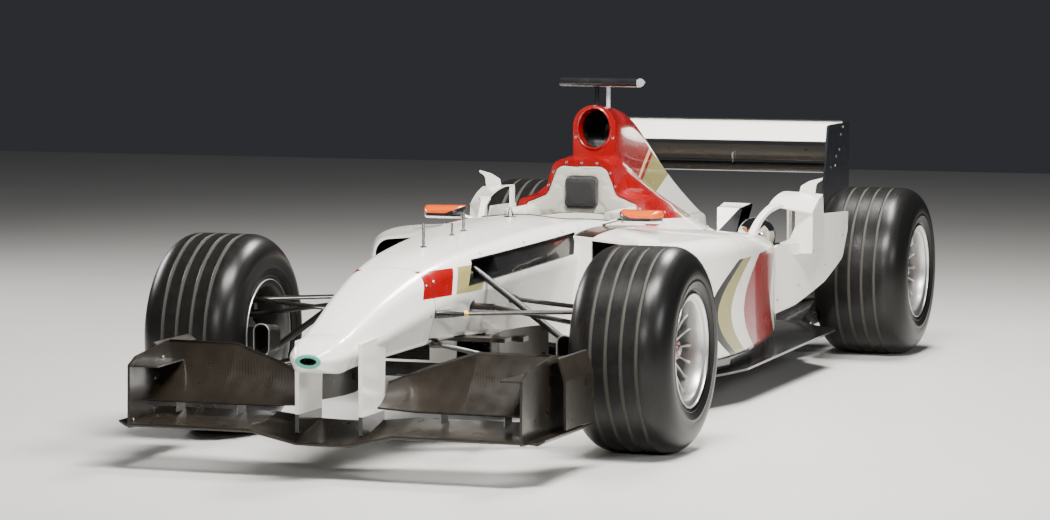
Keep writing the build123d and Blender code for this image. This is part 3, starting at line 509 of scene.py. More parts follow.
paints = {
    "nose_cone": glossPaint("nosePaint", nosePaint),
    "monocoque": glossPaint("tubPaint", tubPaint),
    "sidepods": glossPaint("podPaint", podPaint),
    "engine_cover": glossPaint("coverPaint", coverPaint),
    "flip_ups": glossPaint("flipPaint", flipPaint),
    "rear_wing": glossPaint("wingPaint", wingPaint),
    "mirrors": glossPaint("mirrorPaint", mirrorPaint),
    "camera_wing": glossPaint("cameraPaint", cameraPaint),
}


def carbonFinish(name, dark, light, roughness, coat, dustAndShade):
    finish, tree, shader = newFinish(name)
    vector, x, y, z = axes(tree)
    weave = twill(x, y, z)
    cloud = spread(noise(vector, 6.0, 4.0, 0.6), 0.0, 1.0, 0.35, 0.7)
    dust = spread(noise(vector, 17.0, 6.0, 0.7), 0.0, dustAndShade, 0.5, 0.8)
    tone = over(weave * 0.55 + cloud * 0.30, dark, light)
    feed(shader["Base Color"], over(dust, tone, carbon["dust"]))
    feed(shader["Roughness"], spread(noise(vector, 22.0, 4.0), roughness, roughness + 0.12))
    feed(shader["Specular IOR Level"], carbon["specular"])
    feed(shader["Coat Weight"], coat)
    feed(shader["Coat Roughness"], carbon["coatRoughness"])
    feed(shader["Normal"], bump(weave, 0.12, 0.0003, bump(noise(vector, 4.0), 0.06, 0.003)))
    return finish


# name, then dark tow, light tow, roughness, lacquer and dust
bareCarbon = carbonFinish("bareCarbon", carbon["dark"], carbon["light"], 0.26, 0.35, 0.25)
linkCarbon = carbonFinish("linkCarbon", (0.005, 0.004, 0.004, 1), (0.016, 0.011, 0.008, 1), 0.26, 0.25, 0.10)
floorCarbon = carbonFinish("floorCarbon", (0.006, 0.006, 0.007, 1), (0.024, 0.022, 0.021, 1), 0.16, 1.0, 0.15)
plateCarbon = carbonFinish("plateCarbon", (0.007, 0.008, 0.011, 1), (0.020, 0.022, 0.028, 1), 0.14, 1.0, 0.08)


def shaded(tone, share):
    return tuple(channel * share for channel in tone[:3]) + (1,)


def metalFinish(name, tone, roughness, wear, scale):
    finish, tree, shader = newFinish(name)
    vector = axes(tree)[0]
    grime = spread(noise(vector, scale * 0.3, 5.0, 0.65), 0.0, 0.6, 0.42, 0.75)
    feed(shader["Base Color"], over(grime, tone, shaded(tone, 0.62)))
    feed(shader["Metallic"], 1.0)
    feed(shader["Roughness"], spread(noise(vector, scale, 4.0), roughness, roughness + wear))
    feed(shader["Normal"], bump(noise(vector, scale * 6.0, 3.0), 0.06, 0.0008))
    return finish


rimLook = {
    "bright": (0.72, 0.72, 0.71, 1),
    "dull": (0.56, 0.56, 0.55, 1),
    "barrelShade": (0.018, 0.016, 0.014, 1),
    "shadeEdge": 0.030,
    "shadeWithin": 0.181,
    "shadeMost": 0.93,
}


def rimFinish(name, outside):
    # bright outboard, with the barrel's inboard half painted near-black as painted shade inside the wheel
    finish, tree, shader = newFinish(name)
    vector, x, y, z = axes(tree)
    cloud = noise(vector, 14.0, 5.0, 0.65)
    dustAndShade = below(y * outside, rimLook["shadeEdge"], 0.030)
    dustAndShade = dustAndShade & below(hypotenuse(x, z), rimLook["shadeWithin"], 0.002)
    tone = over(spread(cloud, 0.0, 0.5), rimLook["bright"], rimLook["dull"])
    feed(shader["Base Color"], over(dustAndShade * rimLook["shadeMost"], tone, rimLook["barrelShade"]))
    feed(shader["Metallic"], 1.0 - dustAndShade * 0.6)
    feed(shader["Roughness"], spread(cloud, 0.32, 0.40) + dustAndShade * 0.25)
    feed(shader["Normal"], bump(noise(vector, 180.0, 3.0), 0.05, 0.0006))
    return finish


wheelAlloy = {"left": rimFinish("rimAlloyLeft", 1.0), "right": rimFinish("rimAlloyRight", -1.0)}
# name, then tone, roughness, wear and the grain's scale
castAlloy = metalFinish("castAlloy", (0.34, 0.34, 0.33, 1), 0.42, 0.18, 60.0)
steelPin = metalFinish("steelPin", (0.62, 0.61, 0.59, 1), 0.22, 0.12, 80.0)
nutAlloy = metalFinish("nutAlloy", (0.66, 0.22, 0.27, 1), 0.24, 0.10, 60.0)
mirrorSilver = metalFinish("mirrorGlass", (0.86, 0.88, 0.90, 1), 0.03, 0.02, 20.0)


def plainFinish(name, tone, roughness, grain, coat=0.0):
    finish, tree, shader = newFinish(name)
    vector = axes(tree)[0]
    feed(shader["Base Color"], over(spread(noise(vector, 11.0, 5.0), 0.0, 0.6), tone, shaded(tone, 0.72)))
    feed(shader["Roughness"], spread(noise(vector, 35.0, 3.0), roughness, roughness + 0.12))
    feed(shader["Coat Weight"], coat)
    feed(shader["Normal"], bump(noise(vector, 360.0, 3.0), grain, 0.0008))
    return finish


# name, then tone, roughness, grain and lacquer
blackGrip = plainFinish("blackGrip", (0.012, 0.012, 0.012, 1), 0.50, 0.4)
plankWood = plainFinish("plankWood", (0.18, 0.11, 0.06, 1), 0.62, 0.3)
lampRed = plainFinish("lampRed", (0.42, 0.01, 0.01, 1), 0.12, 0.02, 1.0)
tapeYellow = plainFinish("tapeYellow", (0.78, 0.52, 0.04, 1), 0.45, 0.1)
pullRed = plainFinish("pullRed", (0.62, 0.05, 0.10, 1), 0.28, 0.05, 0.6)
lipRed = plainFinish("lipRed", livery["red"], 0.22, 0.03, 1.0)
displayGlass = plainFinish("displayGlass", (0.016, 0.024, 0.020, 1), 0.08, 0.0, 1.0)

shieldLook = {
    "bright": (0.86, 0.85, 0.83, 1),
    "blued": (0.62, 0.58, 0.52, 1),
    "black": (0.012, 0.012, 0.013, 1),
    "chimneyFrom": 2.555,
    "chimneyWithin": 0.345,
    "shadeHeight": 0.52,
    "shadeLean": -0.95,
    "shadeFrom": 0.232,
    "pipeMiddle": (0.399, 0.531),
    "pipeHalf": 0.0335,
    "sootFrom": 2.480,
}


def shieldFinish():
    # heat shields: polished, a little blued, with the chimney's outboard side painted black as painted shade
    # and the pipe left black
    look = shieldLook
    finish, tree, shader = newFinish("brightShield")
    vector, x, y, z = axes(tree)
    away = abs(y)
    chimney = (x < behind(look["chimneyFrom"])) & (away < look["chimneyWithin"])
    shadedSide = chimney & above((z - look["shadeHeight"]) * look["shadeLean"] + away, look["shadeFrom"], 0.001)
    pipe = below(ovalReach(away, z, *look["pipeMiddle"], look["pipeHalf"], look["pipeHalf"]), 1.0, 0.03)
    tone = over(spread(noise(vector, 9.0, 3.0), 0.0, 0.35), look["bright"], look["blued"])
    feed(shader["Base Color"], over(shadedSide | pipe & (x < behind(look["sootFrom"])), tone, look["black"]))
    feed(shader["Metallic"], 1.0)
    feed(shader["Roughness"], spread(noise(vector, 14.0, 3.0), 0.05, 0.11))
    feed(shader["Normal"], bump(noise(vector, 24.0, 2.0), 0.10, 0.0015))
    return finish


coreLook = {
    "tubes": 28.0,
    "fins": 150.0,
    "gap": (0.03, 0.03, 0.03, 1),
    "alloy": (0.26, 0.26, 0.25, 1),
    "deep": (0.02, 0.02, 0.02, 1),
}


def coreFinish():
    # radiator core: fine fins between flat tubes, with the gaps between tubes and between fins painted dark
    # as painted shade
    finish, tree, shader = newFinish("coreFins")
    vector = axes(tree)[0]
    fins = bands(vector, coreLook["fins"], "Y")
    tubes = bands(vector, coreLook["tubes"], "Z")
    tone = over(tubes, coreLook["gap"], coreLook["alloy"])
    feed(shader["Base Color"], over(fins * 0.6, tone, coreLook["deep"]))
    feed(shader["Metallic"], 0.8)
    feed(shader["Roughness"], 0.45)
    feed(shader["Normal"], bump(fins, 0.4, 0.0015, bump(tubes, 0.6, 0.003)))
    return finish


brakeLook = {
    "dark": (0.022, 0.022, 0.022, 1),
    "light": (0.075, 0.073, 0.070, 1),
    "bell": (0.38, 0.37, 0.35, 1),
    "ventShade": (0.004, 0.004, 0.004, 1),
    "bellRadius": 0.066,
    "ventRadius": 0.1375,
    "vents": 36.0,
}


def brakeFinish(name, axleX):
    # carbon disc with a row of vent holes round its edge painted near-black as painted shade, on a bright
    # bell and steel shaft
    finish, tree, shader = newFinish(name)
    vector, x, y, z = axes(tree)
    across, up = x - axleX, z - layout["tyreRadius"]
    reach = hypotenuse(across, up)
    ripple = calc("COSINE", calc("ARCTAN2", across, up) * brakeLook["vents"])
    shadedVents = above(ripple, 0.45, 0.10) & above(reach, brakeLook["ventRadius"], 0.0004)
    swirl = noise(vector, 45.0, 6.0, 0.7)
    bell = reach < brakeLook["bellRadius"]
    tone = over(bell, over(swirl, brakeLook["dark"], brakeLook["light"]), brakeLook["bell"])
    feed(shader["Base Color"], over(shadedVents, tone, brakeLook["ventShade"]))
    feed(shader["Metallic"], bell)
    feed(shader["Roughness"], spread(swirl, 0.34, 0.52))
    feed(shader["Normal"], bump(~shadedVents, 0.6, 0.002, bump(swirl, 0.2, 0.0008)))
    return finish


uprightLook = {
    "bright": (0.20, 0.20, 0.20, 1),
    "dull": (0.12, 0.12, 0.12, 1),
    "caliper": (0.30, 0.27, 0.22, 1),
    "scoop": (0.006, 0.006, 0.006, 1),
    "caliperFrom": 0.058,
    "scoopFrom": 0.036,
    "scoopWithin": 0.580,
}


def uprightFinish(name, axleX, fore, duct):
    # machined upright, hard-anodised caliper and, at the front, a bare carbon brake duct
    look = uprightLook
    finish, tree, shader = newFinish(name)
    vector, x, y, z = axes(tree)
    across = x - axleX
    grain = noise(vector, 70.0, 5.0, 0.6)
    tone = over(spread(grain, 0.0, 0.7), look["bright"], look["dull"])
    tone = over(across * fore > look["caliperFrom"], tone, look["caliper"])
    metallic = 1.0
    if duct:
        scoop = (across > look["scoopFrom"]) & (abs(y) < look["scoopWithin"])
        tone = over(scoop, tone, over(twill(x, y, z) * 0.5, look["scoop"], carbon["light"]))
        metallic = ~scoop
    feed(shader["Base Color"], tone)
    feed(shader["Metallic"], metallic)
    feed(shader["Roughness"], spread(grain, 0.30, 0.46))
    feed(shader["Normal"], bump(grain, 0.15, 0.0006))
    return finish


def clothFinish(name, tone, shade, thread, roughness):
    # close knit: two crossing rows of threads, with a soft sheen
    finish, tree, shader = newFinish(name)
    vector = axes(tree)[0]
    knit = bands(vector, thread, "Z", 0.6) * bands(vector, thread, "Y", 0.6)
    colour = over(spread(noise(vector, 8.0, 5.0, 0.6), 0.0, 0.5), tone, shade)
    feed(shader["Base Color"], over(knit * 0.3, colour, shade))
    feed(shader["Roughness"], spread(knit, roughness, roughness + 0.1, 0.0, 1.0))
    feed(shader["Sheen Weight"], 0.25)
    feed(shader["Sheen Roughness"], 0.5)
    feed(shader["Normal"], bump(knit, 0.25, 0.0006, bump(noise(vector, 12.0, 3.0), 0.10, 0.003)))
    return finish


# name, then tone, shade, threads and roughness
collarCloth = clothFinish("collarCloth", (0.60, 0.57, 0.50, 1), (0.42, 0.40, 0.34, 1), 260.0, 0.62)
padCloth = clothFinish("padCloth", (0.016, 0.016, 0.016, 1), (0.008, 0.008, 0.008, 1), 220.0, 0.70)
beltWeb = clothFinish("beltWeb", (0.020, 0.022, 0.060, 1), (0.010, 0.011, 0.030, 1), 330.0, 0.60)
brightShield, coreFins = shieldFinish(), coreFinish()
rearUpright = uprightFinish("rearUpright", layout["rearAxleX"], 1.0, False)
frontUpright = uprightFinish("frontUpright", layout["frontAxleX"], -1.0, True)
print("finishes made")

carried = dict(paints)
for finish, names in (
    (bareCarbon, ("front_wing_plane", "front_wing_flaps", "front_wing_endplates", "turning_vanes")),
    (bareCarbon, ("crash_structure", "seat", "dash")),
    (floorCarbon, ("floor", "diffuser")),
    (plateCarbon, ("rear_endplates",)),
    (linkCarbon, ("front_links", "rear_links", "steering_rack")),
    (castAlloy, ("engine", "gearbox")),
    (steelPin, ("nose_masts",)),
    (blackGrip, ("steering_wheel",)),
    (plankWood, ("plank",)),
    (coreFins, ("radiators",)),
    (lampRed, ("rain_light",)),
    (brightShield, ("exhaust_outlets",)),
    (collarCloth, ("headrest_collar",)),
    (padCloth, ("head_pad",)),
    (rearUpright, ("rear_uprights",)),
    (frontUpright, ("knuckle_left", "knuckle_right")),
):
    carried.update((name, finish) for name in names)
for end in ("front", "rear"):
    disc = brakeFinish(end + "Brake", layout[end + "AxleX"])
    for side in ("left", "right"):
        corner = end + "_" + side
        carried["tyre_" + corner] = blackGrip
        carried["rim_" + corner] = wheelAlloy[side]
        carried["hub_" + corner] = disc


def shadeEdges(mesh, angle=sharpAngle):
    mesh.shade_smooth()
    mesh.set_sharp_from_angle(angle=math.radians(angle))


for name, finish in carried.items():
    # a CAD node keeps its mesh: only its shading and finish change
    mesh = nodes[name].data
    mesh.materials.clear()
    mesh.materials.append(finish)
    mesh.polygons.foreach_set("material_index", [0] * len(mesh.polygons))
    shadeEdges(mesh)
print("solids dressed")


# small builders that the pieces below share
def around(count, offset=0.0):
    return [2 * math.pi * (k + offset) / count for k in range(count)]


def solid(name, shape, sharp=sharpAngle):
    mesh = bpy.data.meshes.new(name)
    shape.to_mesh(mesh)
    shape.free()
    shadeEdges(mesh, sharp)
    piece = bpy.data.objects.new(name, mesh)
    bpy.context.scene.collection.objects.link(piece)
    return piece


def seat(piece, finish, body, slotName, *replaced):
    piece.data.materials.append(finish)
    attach(piece, body)
    if replaced:
        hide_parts(*replaced)
    return piece


def fitted(name, shape, finish, body, slotName, *replaced):
    bmesh.ops.recalc_face_normals(shape, faces=shape.faces)
    return seat(solid(name, shape), finish, body, slotName, *replaced)


def joined(shape, here, there):
    # a belt of faces between two loops of points
    count = len(here)
    for k in range(count):
        m = (k + 1) % count
        shape.faces.new((here[k], here[m], there[m], there[k]))


def loopsInto(shape, loops, closedLoop=False):
    made = [[shape.verts.new(p) for p in loop] for loop in loops]
    for here, there in zip(made, made[1:]):
        joined(shape, here, there)
    if closedLoop:
        joined(shape, made[-1], made[0])
    else:
        shape.faces.new(list(reversed(made[0])))
        shape.faces.new(made[-1])


def turned(profile, turns):
    # a closed profile of (y, radius) points swept round the axle
    shape = bmesh.new()
    rings = []
    for angle in around(turns):
        rings.append([shape.verts.new((r * math.sin(angle), y, r * math.cos(angle))) for y, r in profile])
    for here, there in zip(rings, rings[1:] + rings[:1]):
        for k in range(len(profile)):
            m = (k + 1) % len(profile)
            shape.faces.new((here[k], there[k], there[m], here[m]))
    bmesh.ops.recalc_face_normals(shape, faces=shape.faces)
    return shape


def arc(centre, radius, start, end, count):
    points = []
    for k in range(count + 1):
        angle = math.radians(start + (end - start) * k / count)
        points.append((centre[0] + radius[0] * math.cos(angle), centre[1] + radius[1] * math.sin(angle)))
    return points


def otherHalf(points):
    return [(-y, r) for y, r in reversed(points)]


def frameAt(place, normal, along=None):
    out = Vector(normal).normalized()
    first = Vector(along) if along else out.orthogonal()
    first = (first - out * first.dot(out)).normalized()
    turn = Matrix((first, out.cross(first), out)).transposed().to_4x4()
    turn.translation = Vector(place)
    return turn


def shifted(place, u, v, w):
    return place @ Matrix.Translation((u, v, w))


def latheInto(shape, place, profile, turns=20, flat=1.0):
    # profile points are (radius, height) along the frame's third axis
    loops = []
    for radius, height in profile:
        ring = [(radius * math.cos(a), radius * math.sin(a) * flat, height) for a in around(turns)]
        loops.append([place @ Vector(point) for point in ring])
    loopsInto(shape, loops)


def tubeInto(shape, points, radius, sides=10, closed=False):
    points = [Vector(p) for p in points]
    count = len(points)
    loops, side = [], None
    for k in range(count):
        ahead = points[(k + 1) % count] if closed or k < count - 1 else points[k]
        back = points[k - 1] if closed or k > 0 else points[k]
        run = (ahead - back).normalized()
        side = run.orthogonal().normalized() if side is None else (side - run * side.dot(run)).normalized()
        other = run.cross(side)
        loops.append([points[k] + (side * math.cos(a) + other * math.sin(a)) * radius for a in around(sides)])
    loopsInto(shape, loops, closed)


def plateInto(shape, place, edge, thick, bevel=0.0008):
    # edge points are (u, v) in the frame; both faces have a small bevel
    middle = Vector((sum(p[0] for p in edge) / len(edge), sum(p[1] for p in edge) / len(edge)))
    loops = []
    for shrink, height in ((bevel, 0.0), (0.0, bevel), (0.0, thick - bevel), (bevel, thick)):
        loop = []
        for u, v in edge:
            inward = (middle - Vector((u, v))).normalized() * shrink
            loop.append(place @ Vector((u + inward.x, v + inward.y, height)))
        loops.append(loop)
    loopsInto(shape, loops)


# a strip's section, in halves of its width and thickness, with its edges broken
stripSection = ((-1, -0.6), (-0.96, -1), (0.96, -1), (1, -0.6), (1, 0.6), (0.96, 1), (-0.96, 1), (-1, 0.6))


def stripInto(shape, points, across, width, thick):
    # points run along the strip's middle, across is its width's direction
    loops = []
    points = [Vector(p) for p in points]
    for k, point in enumerate(points):
        run = (points[min(k + 1, len(points) - 1)] - points[max(k - 1, 0)]).normalized()
        wide = Vector(across)
        wide = (wide - run * wide.dot(run)).normalized()
        up = run.cross(wide)
        loops.append([point + wide * a * width / 2 + up * b * thick / 2 for a, b in stripSection])
    loopsInto(shape, loops)


def rounded(halfU, halfV, radius, steps=6):
    points = []
    for signU, signV, start in ((1, 1, 0), (-1, 1, 90), (-1, -1, 180), (1, -1, 270)):
        middle = (signU * (halfU - radius), signV * (halfV - radius))
        points += arc(middle, (radius, radius), start, start + 90, steps)
    return points


def softCorners(points, radius, steps=6):
    # an open path with each inner corner rounded, by at most this share of its shorter side
    share = 0.45
    points = [Vector(p) for p in points]
    path = [points[0]]
    for before, corner, after in zip(points, points[1:], points[2:]):
        into, away = before - corner, after - corner
        reach = min(radius, into.length * share, away.length * share)
        start, end = corner + into.normalized() * reach, corner + away.normalized() * reach
        for k in range(steps + 1):
            t = k / steps
            path.append(start * (1 - t) ** 2 + corner * 2 * t * (1 - t) + end * t ** 2)
    return path + [points[-1]]


def skinOf(*names):
    # the surface of some CAD nodes or pieces, for rays to find
    verts, faces = [], []
    for name in names:
        mesh = nodes[name].data if name in nodes else bpy.data.objects[name].data
        first = len(verts)
        verts += [v.co.copy() for v in mesh.vertices]
        faces += [[first + k for k in polygon.vertices] for polygon in mesh.polygons]
    return BVHTree.FromPolygons(verts, faces)


def touch(skin, start, toward):
    # where a ray meets the skin, and the normal on the ray's side
    toward = Vector(toward)
    found, normal, index, reach = skin.ray_cast(Vector(start), toward.normalized())
    if found is None:
        return None, None
    return found, -normal if normal.dot(toward) > 0 else normal


# wheels: y runs outboard from the middle of the wheel, and the right-hand ones are mirrored
tyreSet = {
    "turns": 168,
    "shoulder": 0.088,
    "shoulderSteps": 14,
    "grooves": (0.025, 0.075),   # from the tyre's middle
    "grooveTop": 0.0056,
    "grooveFoot": 0.0040,
    "grooveBevel": 0.0010,
    "bevelDeep": 0.0007,
    "grooveHold": 0.0016,
    "grooveDepth": 0.005,
    # the wall below the shoulder: inboard of the widest place, and below the shoulder's foot
    "wall": ((0.0006, 0.010), (0.0016, 0.018), (0.0010, 0.0195), (0.0012, 0.0225), (0.0030, 0.024)),
    # the bead: inboard of the widest place, and the radius
    "bead": (
        (0.0060, 0.205), (0.0085, 0.1975), (0.0080, 0.1955),
        (0.0100, 0.1925), (0.0170, 0.1880), (0.0240, 0.185),
        (0.0240, 0.1645),
    ),
    "closest": 0.0004,
}


def tyreProfile(width):
    half = width / 2
    radius = layout["tyreRadius"]
    top, foot = tyreSet["grooveTop"], tyreSet["grooveFoot"]
    nick, deep = radius - tyreSet["bevelDeep"], radius - tyreSet["grooveDepth"]
    # the outer rings keep the bands between the grooves flat
    edge = top + tyreSet["grooveBevel"]
    ring = edge + tyreSet["grooveHold"]
    groove = [(-ring, radius), (-edge, radius), (-top, nick), (-foot, deep)]
    groove += otherHalf(groove)
    # the tread with its grooves, from the middle outwards, then the shoulder, wall and bead
    side = [(0.0, radius)]
    for centre in tyreSet["grooves"]:
        side += [(centre + y, r) for y, r in groove]
    low = radius - tyreSet["shoulder"]
    flat = max(half - tyreSet["shoulder"], side[-1][0] + 0.001)
    side += arc((flat, low), (half - flat, tyreSet["shoulder"]), 90, 0, tyreSet["shoulderSteps"])
    side += [(half - inboard, low - drop) for inboard, drop in tyreSet["wall"]]
    side += [(half - inboard, r) for inboard, r in tyreSet["bead"]]
    clean = [side[0]]
    for point in side[1:]:
        if abs(point[0] - clean[-1][0]) + abs(point[1] - clean[-1][1]) > tyreSet["closest"]:
            clean.append(point)
    return clean + otherHalf(clean[1:])


rubberLook = {
    "black": (0.005, 0.005, 0.005, 1),
    "worn": (0.013, 0.012, 0.011, 1),
    "streak": (0.009, 0.0085, 0.008, 1),
    "grain": (0.026, 0.024, 0.022, 1),
    "dust": (0.095, 0.088, 0.078, 1),
    "specular": 0.26,
    "treadFrom": 0.318,
    "dustTop": 0.3288,
    "dustFoot": 0.3240,
    "shadeWithin": 0.084,
}


def rubberFinish():
    # satin tread with dust in its grooves, and a smoother wall
    look = rubberLook
    finish, tree, shader = newFinish("tyreRubber")
    vector, x, y, z = axes(tree)
    reach = hypotenuse(x, z)
    wound = addNode("ShaderNodeCombineXYZ", {0: calc("ARCTAN2", x, z) * 0.30, 1: y, 2: reach})
    streaks = noise(stretched(wound, (3.0, 120.0, 120.0)), 1.0, 5.0, 0.6)
    scuff = noise(stretched(wound, (26.0, 30.0, 30.0)), 1.0, 6.0, 0.7)
    grain = noise(stretched(wound, (90.0, 260.0, 260.0)), 1.0, 4.0, 0.7)
    tread = above(reach, look["treadFrom"], 0.010)
    dustAndShade = below(reach, look["dustTop"], 0.0006) & above(reach, look["dustFoot"], 0.0003)
    dustAndShade = dustAndShade & (abs(y) < look["shadeWithin"])
    worn = tread & spread(scuff, 0.1, 0.9, 0.40, 0.75)
    tone = over(worn, look["black"], look["worn"])
    tone = over(spread(streaks, 0.0, 0.5, 0.4, 0.8), tone, look["streak"])
    tone = over(tread & spread(grain, 0.0, 0.4, 0.5, 0.7), tone, look["grain"])
    feed(shader["Base Color"], over(dustAndShade * 0.55, tone, look["dust"]))
    feed(shader["Roughness"], spread(streaks, 0.27, 0.34) + worn * 0.06 + dustAndShade * 0.3)
    feed(shader["Specular IOR Level"], look["specular"])
    fine = bump(grain, 0.30, 0.0006, bump(streaks, 0.18, 0.0008))
    feed(shader["Normal"], bump(scuff, 0.12, 0.0010, fine))
    return finish


rimSet = {
    "turns": 144,
    "flange": 0.184,
    "seatRadius": 0.164,
    "wall": 0.006,
    "beadIn": 0.024,
    "inset": 0.014,
    "spokes": 18,
    "spokeDepth": 0.075,
    "spokeSides": 12,
    "spokeSquare": 0.62,   # under one squares the spoke's section
    # radius, half width, half depth and place ahead of the wheel's face: a spoke sweeps outboard,
    # flares where it meets the barrel and thins at its waist
    "spoke": (
        (0.046, 0.0072, 0.0110, -0.0130), (0.062, 0.0054, 0.0104, -0.0100), (0.088, 0.0041, 0.0098, -0.0045),
        (0.116, 0.0034, 0.0096, 0.0015), (0.138, 0.0034, 0.0100, 0.0062), (0.150, 0.0046, 0.0114, 0.0090),
        (0.160, 0.0080, 0.0138, 0.0110),
    ),
    # the hub's turned face: place ahead of the wheel's face, and radius
    "hub": (
        (-0.026, 0.034), (-0.026, 0.050), (-0.022, 0.053), (-0.006, 0.054), (-0.0015, 0.0515), (0.0, 0.047),
        (-0.0008, 0.0440), (-0.0030, 0.0425), (-0.0030, 0.034),
    ),
    "hubTurns": 72,
    "valve": {
        "in": 0.034, "radius": 0.1490, "lean": -62, "foot": 0.0040, "tip": 0.0030, "long": 0.026, "sides": 14,
    },
}


def rimProfile(width):
    # points hang on the bead's or the lip's place, and on the flange's or the seat's radius
    bead = width / 2 - rimSet["beadIn"]
    lip = bead + rimSet["inset"]
    flange, low = rimSet["flange"], rimSet["seatRadius"]
    inner = low - rimSet["wall"]
    outside = [
        (bead - 0.012, low - 0.002), (bead - 0.001, low), (bead, low + 0.002), (bead, flange - 0.003),
        (bead + 0.002, flange - 0.0006), (bead + 0.006, flange), (lip - 0.003, flange - 0.0004),
        (lip - 0.0006, flange - 0.0016), (lip, flange - 0.0032),
    ]
    inside = [
        (lip - 0.0012, flange - 0.0046), (lip - 0.0036, flange - 0.0052), (bead + 0.0066, flange - 0.0072),
        (bead + 0.0050, flange - 0.0098), (bead + 0.0044, low + 0.001), (bead + 0.0030, low - 0.003),
        (bead - 0.0020, inner), (bead - 0.030, inner - 0.0008),
    ]
    return otherHalf(outside) + outside + inside + otherHalf(inside)


def wheelFace(width):
    return width / 2 - rimSet["beadIn"] + rimSet["inset"] - rimSet["spokeDepth"]


def spokeInto(shape, faceY, turn):
    square = rimSet["spokeSquare"]
    loops = []
    for reach, half, deep, ahead in rimSet["spoke"]:
        loop = []
        for angle in around(rimSet["spokeSides"], 0.5):
            u, v = math.cos(angle), math.sin(angle)
            u = math.copysign(abs(u) ** square, u) * half
            v = math.copysign(abs(v) ** square, v) * deep
            loop.append(Matrix.Rotation(turn, 3, "Y") @ Vector((u, faceY + ahead + v, reach)))
        loops.append(loop)
    loopsInto(shape, loops)


def makeRim(width):
    faceY = wheelFace(width)
    shape = turned(rimProfile(width), rimSet["turns"])
    hubFace = bpy.data.meshes.new("hubFace")
    turned([(faceY + ahead, r) for ahead, r in rimSet["hub"]], rimSet["hubTurns"]).to_mesh(hubFace)
    shape.from_mesh(hubFace)
    bpy.data.meshes.remove(hubFace)
    for angle in around(rimSet["spokes"], 0.5):
        spokeInto(shape, faceY, angle)
    # the valve stands on the barrel between two spokes
    valve = rimSet["valve"]
    place = Matrix.Translation((0, faceY + rimSet["spokeDepth"] - valve["in"], valve["radius"]))
    place = place @ Matrix.Rotation(math.radians(valve["lean"]), 4, "X")
    bmesh.ops.create_cone(
        shape, cap_ends=True, segments=valve["sides"], radius1=valve["foot"], radius2=valve["tip"],
        depth=valve["long"], matrix=place,
    )
    bmesh.ops.recalc_face_normals(shape, faces=shape.faces)
    return shape


nutSet = {
    "flats": 0.0562,
    "height": 0.0272,
    "turns": 48,
    "sharp": 25,
    # height, and the radius as a share of half the flats: cones at both ends cut the six corners off
    "rows": (
        (0.0000, 1.130), (0.0022, 1.155), (0.0190, 1.155), (0.0215, 1.120), (0.0266, 1.020), (0.0272, 0.960),
        (0.0272, 0.780), (0.0266, 0.740),
    ),
    # the spindle's end with its clip: height over the nut's face, and radius
    "spindle": (
        (-0.0010, 0.0175), (0.0030, 0.0175), (0.0036, 0.0168), (0.0036, 0.0150),
        (0.0046, 0.0150), (0.0046, 0.0164), (0.0062, 0.0164), (0.0070, 0.0150),
        (0.0070, 0.0095), (0.0022, 0.0085), (0.0022, 0.0004), (-0.0010, 0.0004),
    ),
}


def makeNut(width):
    # six flats, both ends turned to a cone, and a dished face
    faceY, outer = wheelFace(width), nutSet["flats"] / 2
    sixth = math.pi / 6
    loops = []
    for height, share in nutSet["rows"]:
        loop = []
        for angle in around(nutSet["turns"]):
            edge = outer / math.cos((angle + sixth) % (2 * sixth) - sixth)
            reach = min(edge, outer * share)
            loop.append((math.sin(angle) * reach, faceY + height, math.cos(angle) * reach))
        loops.append(loop)
    shape = bmesh.new()
    loopsInto(shape, loops)
    bmesh.ops.recalc_face_normals(shape, faces=shape.faces)
    return shape


def makeSpindle(width):
    end = wheelFace(width) + nutSet["height"]
    return turned([(end + ahead, r) for ahead, r in nutSet["spindle"]], nutSet["turns"])


rubber = rubberFinish()
for end in ("front", "rear"):
    width = layout[end + "TyreWidth"]
    for side, sign in (("left", 1), ("right", -1)):
        corner = end + "_" + side
        for name, shape, finish, slotName, replaced in (
            (
                "tyre-", turned(tyreProfile(width), tyreSet["turns"]),
                rubber, "tyre_rubber", ["tyre_" + corner],
            ),
            ("rim-", makeRim(width), wheelAlloy[side], "wheel_alloy", ["rim_" + corner]),
            ("wheelNut-", makeNut(width), nutAlloy, "wheel_alloy", []),
            ("spindleEnd-", makeSpindle(width), steelPin, "wheel_alloy", []),
        ):
            sharp = nutSet["sharp"] if name == "wheelNut-" else sharpAngle
            piece = solid(name + corner, shape, sharp)
            piece.location = (layout[end + "AxleX"], sign * layout[end + "HalfTrack"], layout["tyreRadius"])
            if side == "right":
                piece.data.transform(Matrix.Diagonal((1, -1, 1, 1)))
                piece.data.flip_normals()
            seat(piece, finish, "wheel_" + corner, slotName, *replaced)
print("wheels turned")


def mirroredRows(rows):
    # every row at one side also stands at the other; rows on the centre line stand once
    for row in rows:
        yield row
        if abs(row[1]) > 0.001:
            yield (row[0], -row[1]) + tuple(row[2:])


# quarter-turn fasteners: a slotted head in a flush cup, each set on the panel that it holds
fastenerSet = {
    "radius": 0.0056,
    "height": 0.0012,
    # head's section, in shares of its radius and height
    "head": ((1.0, 0.0), (1.0, 0.55), (0.90, 1.0), (0.80, 0.9), (0.74, 1.25), (0.30, 1.45)),
    "turns": 18,
    "sunk": 0.0004,
    "slot": {"reach": 0.6, "half": 0.0006, "height": 1.35, "thick": 0.0007, "bevel": 0.0002},
}
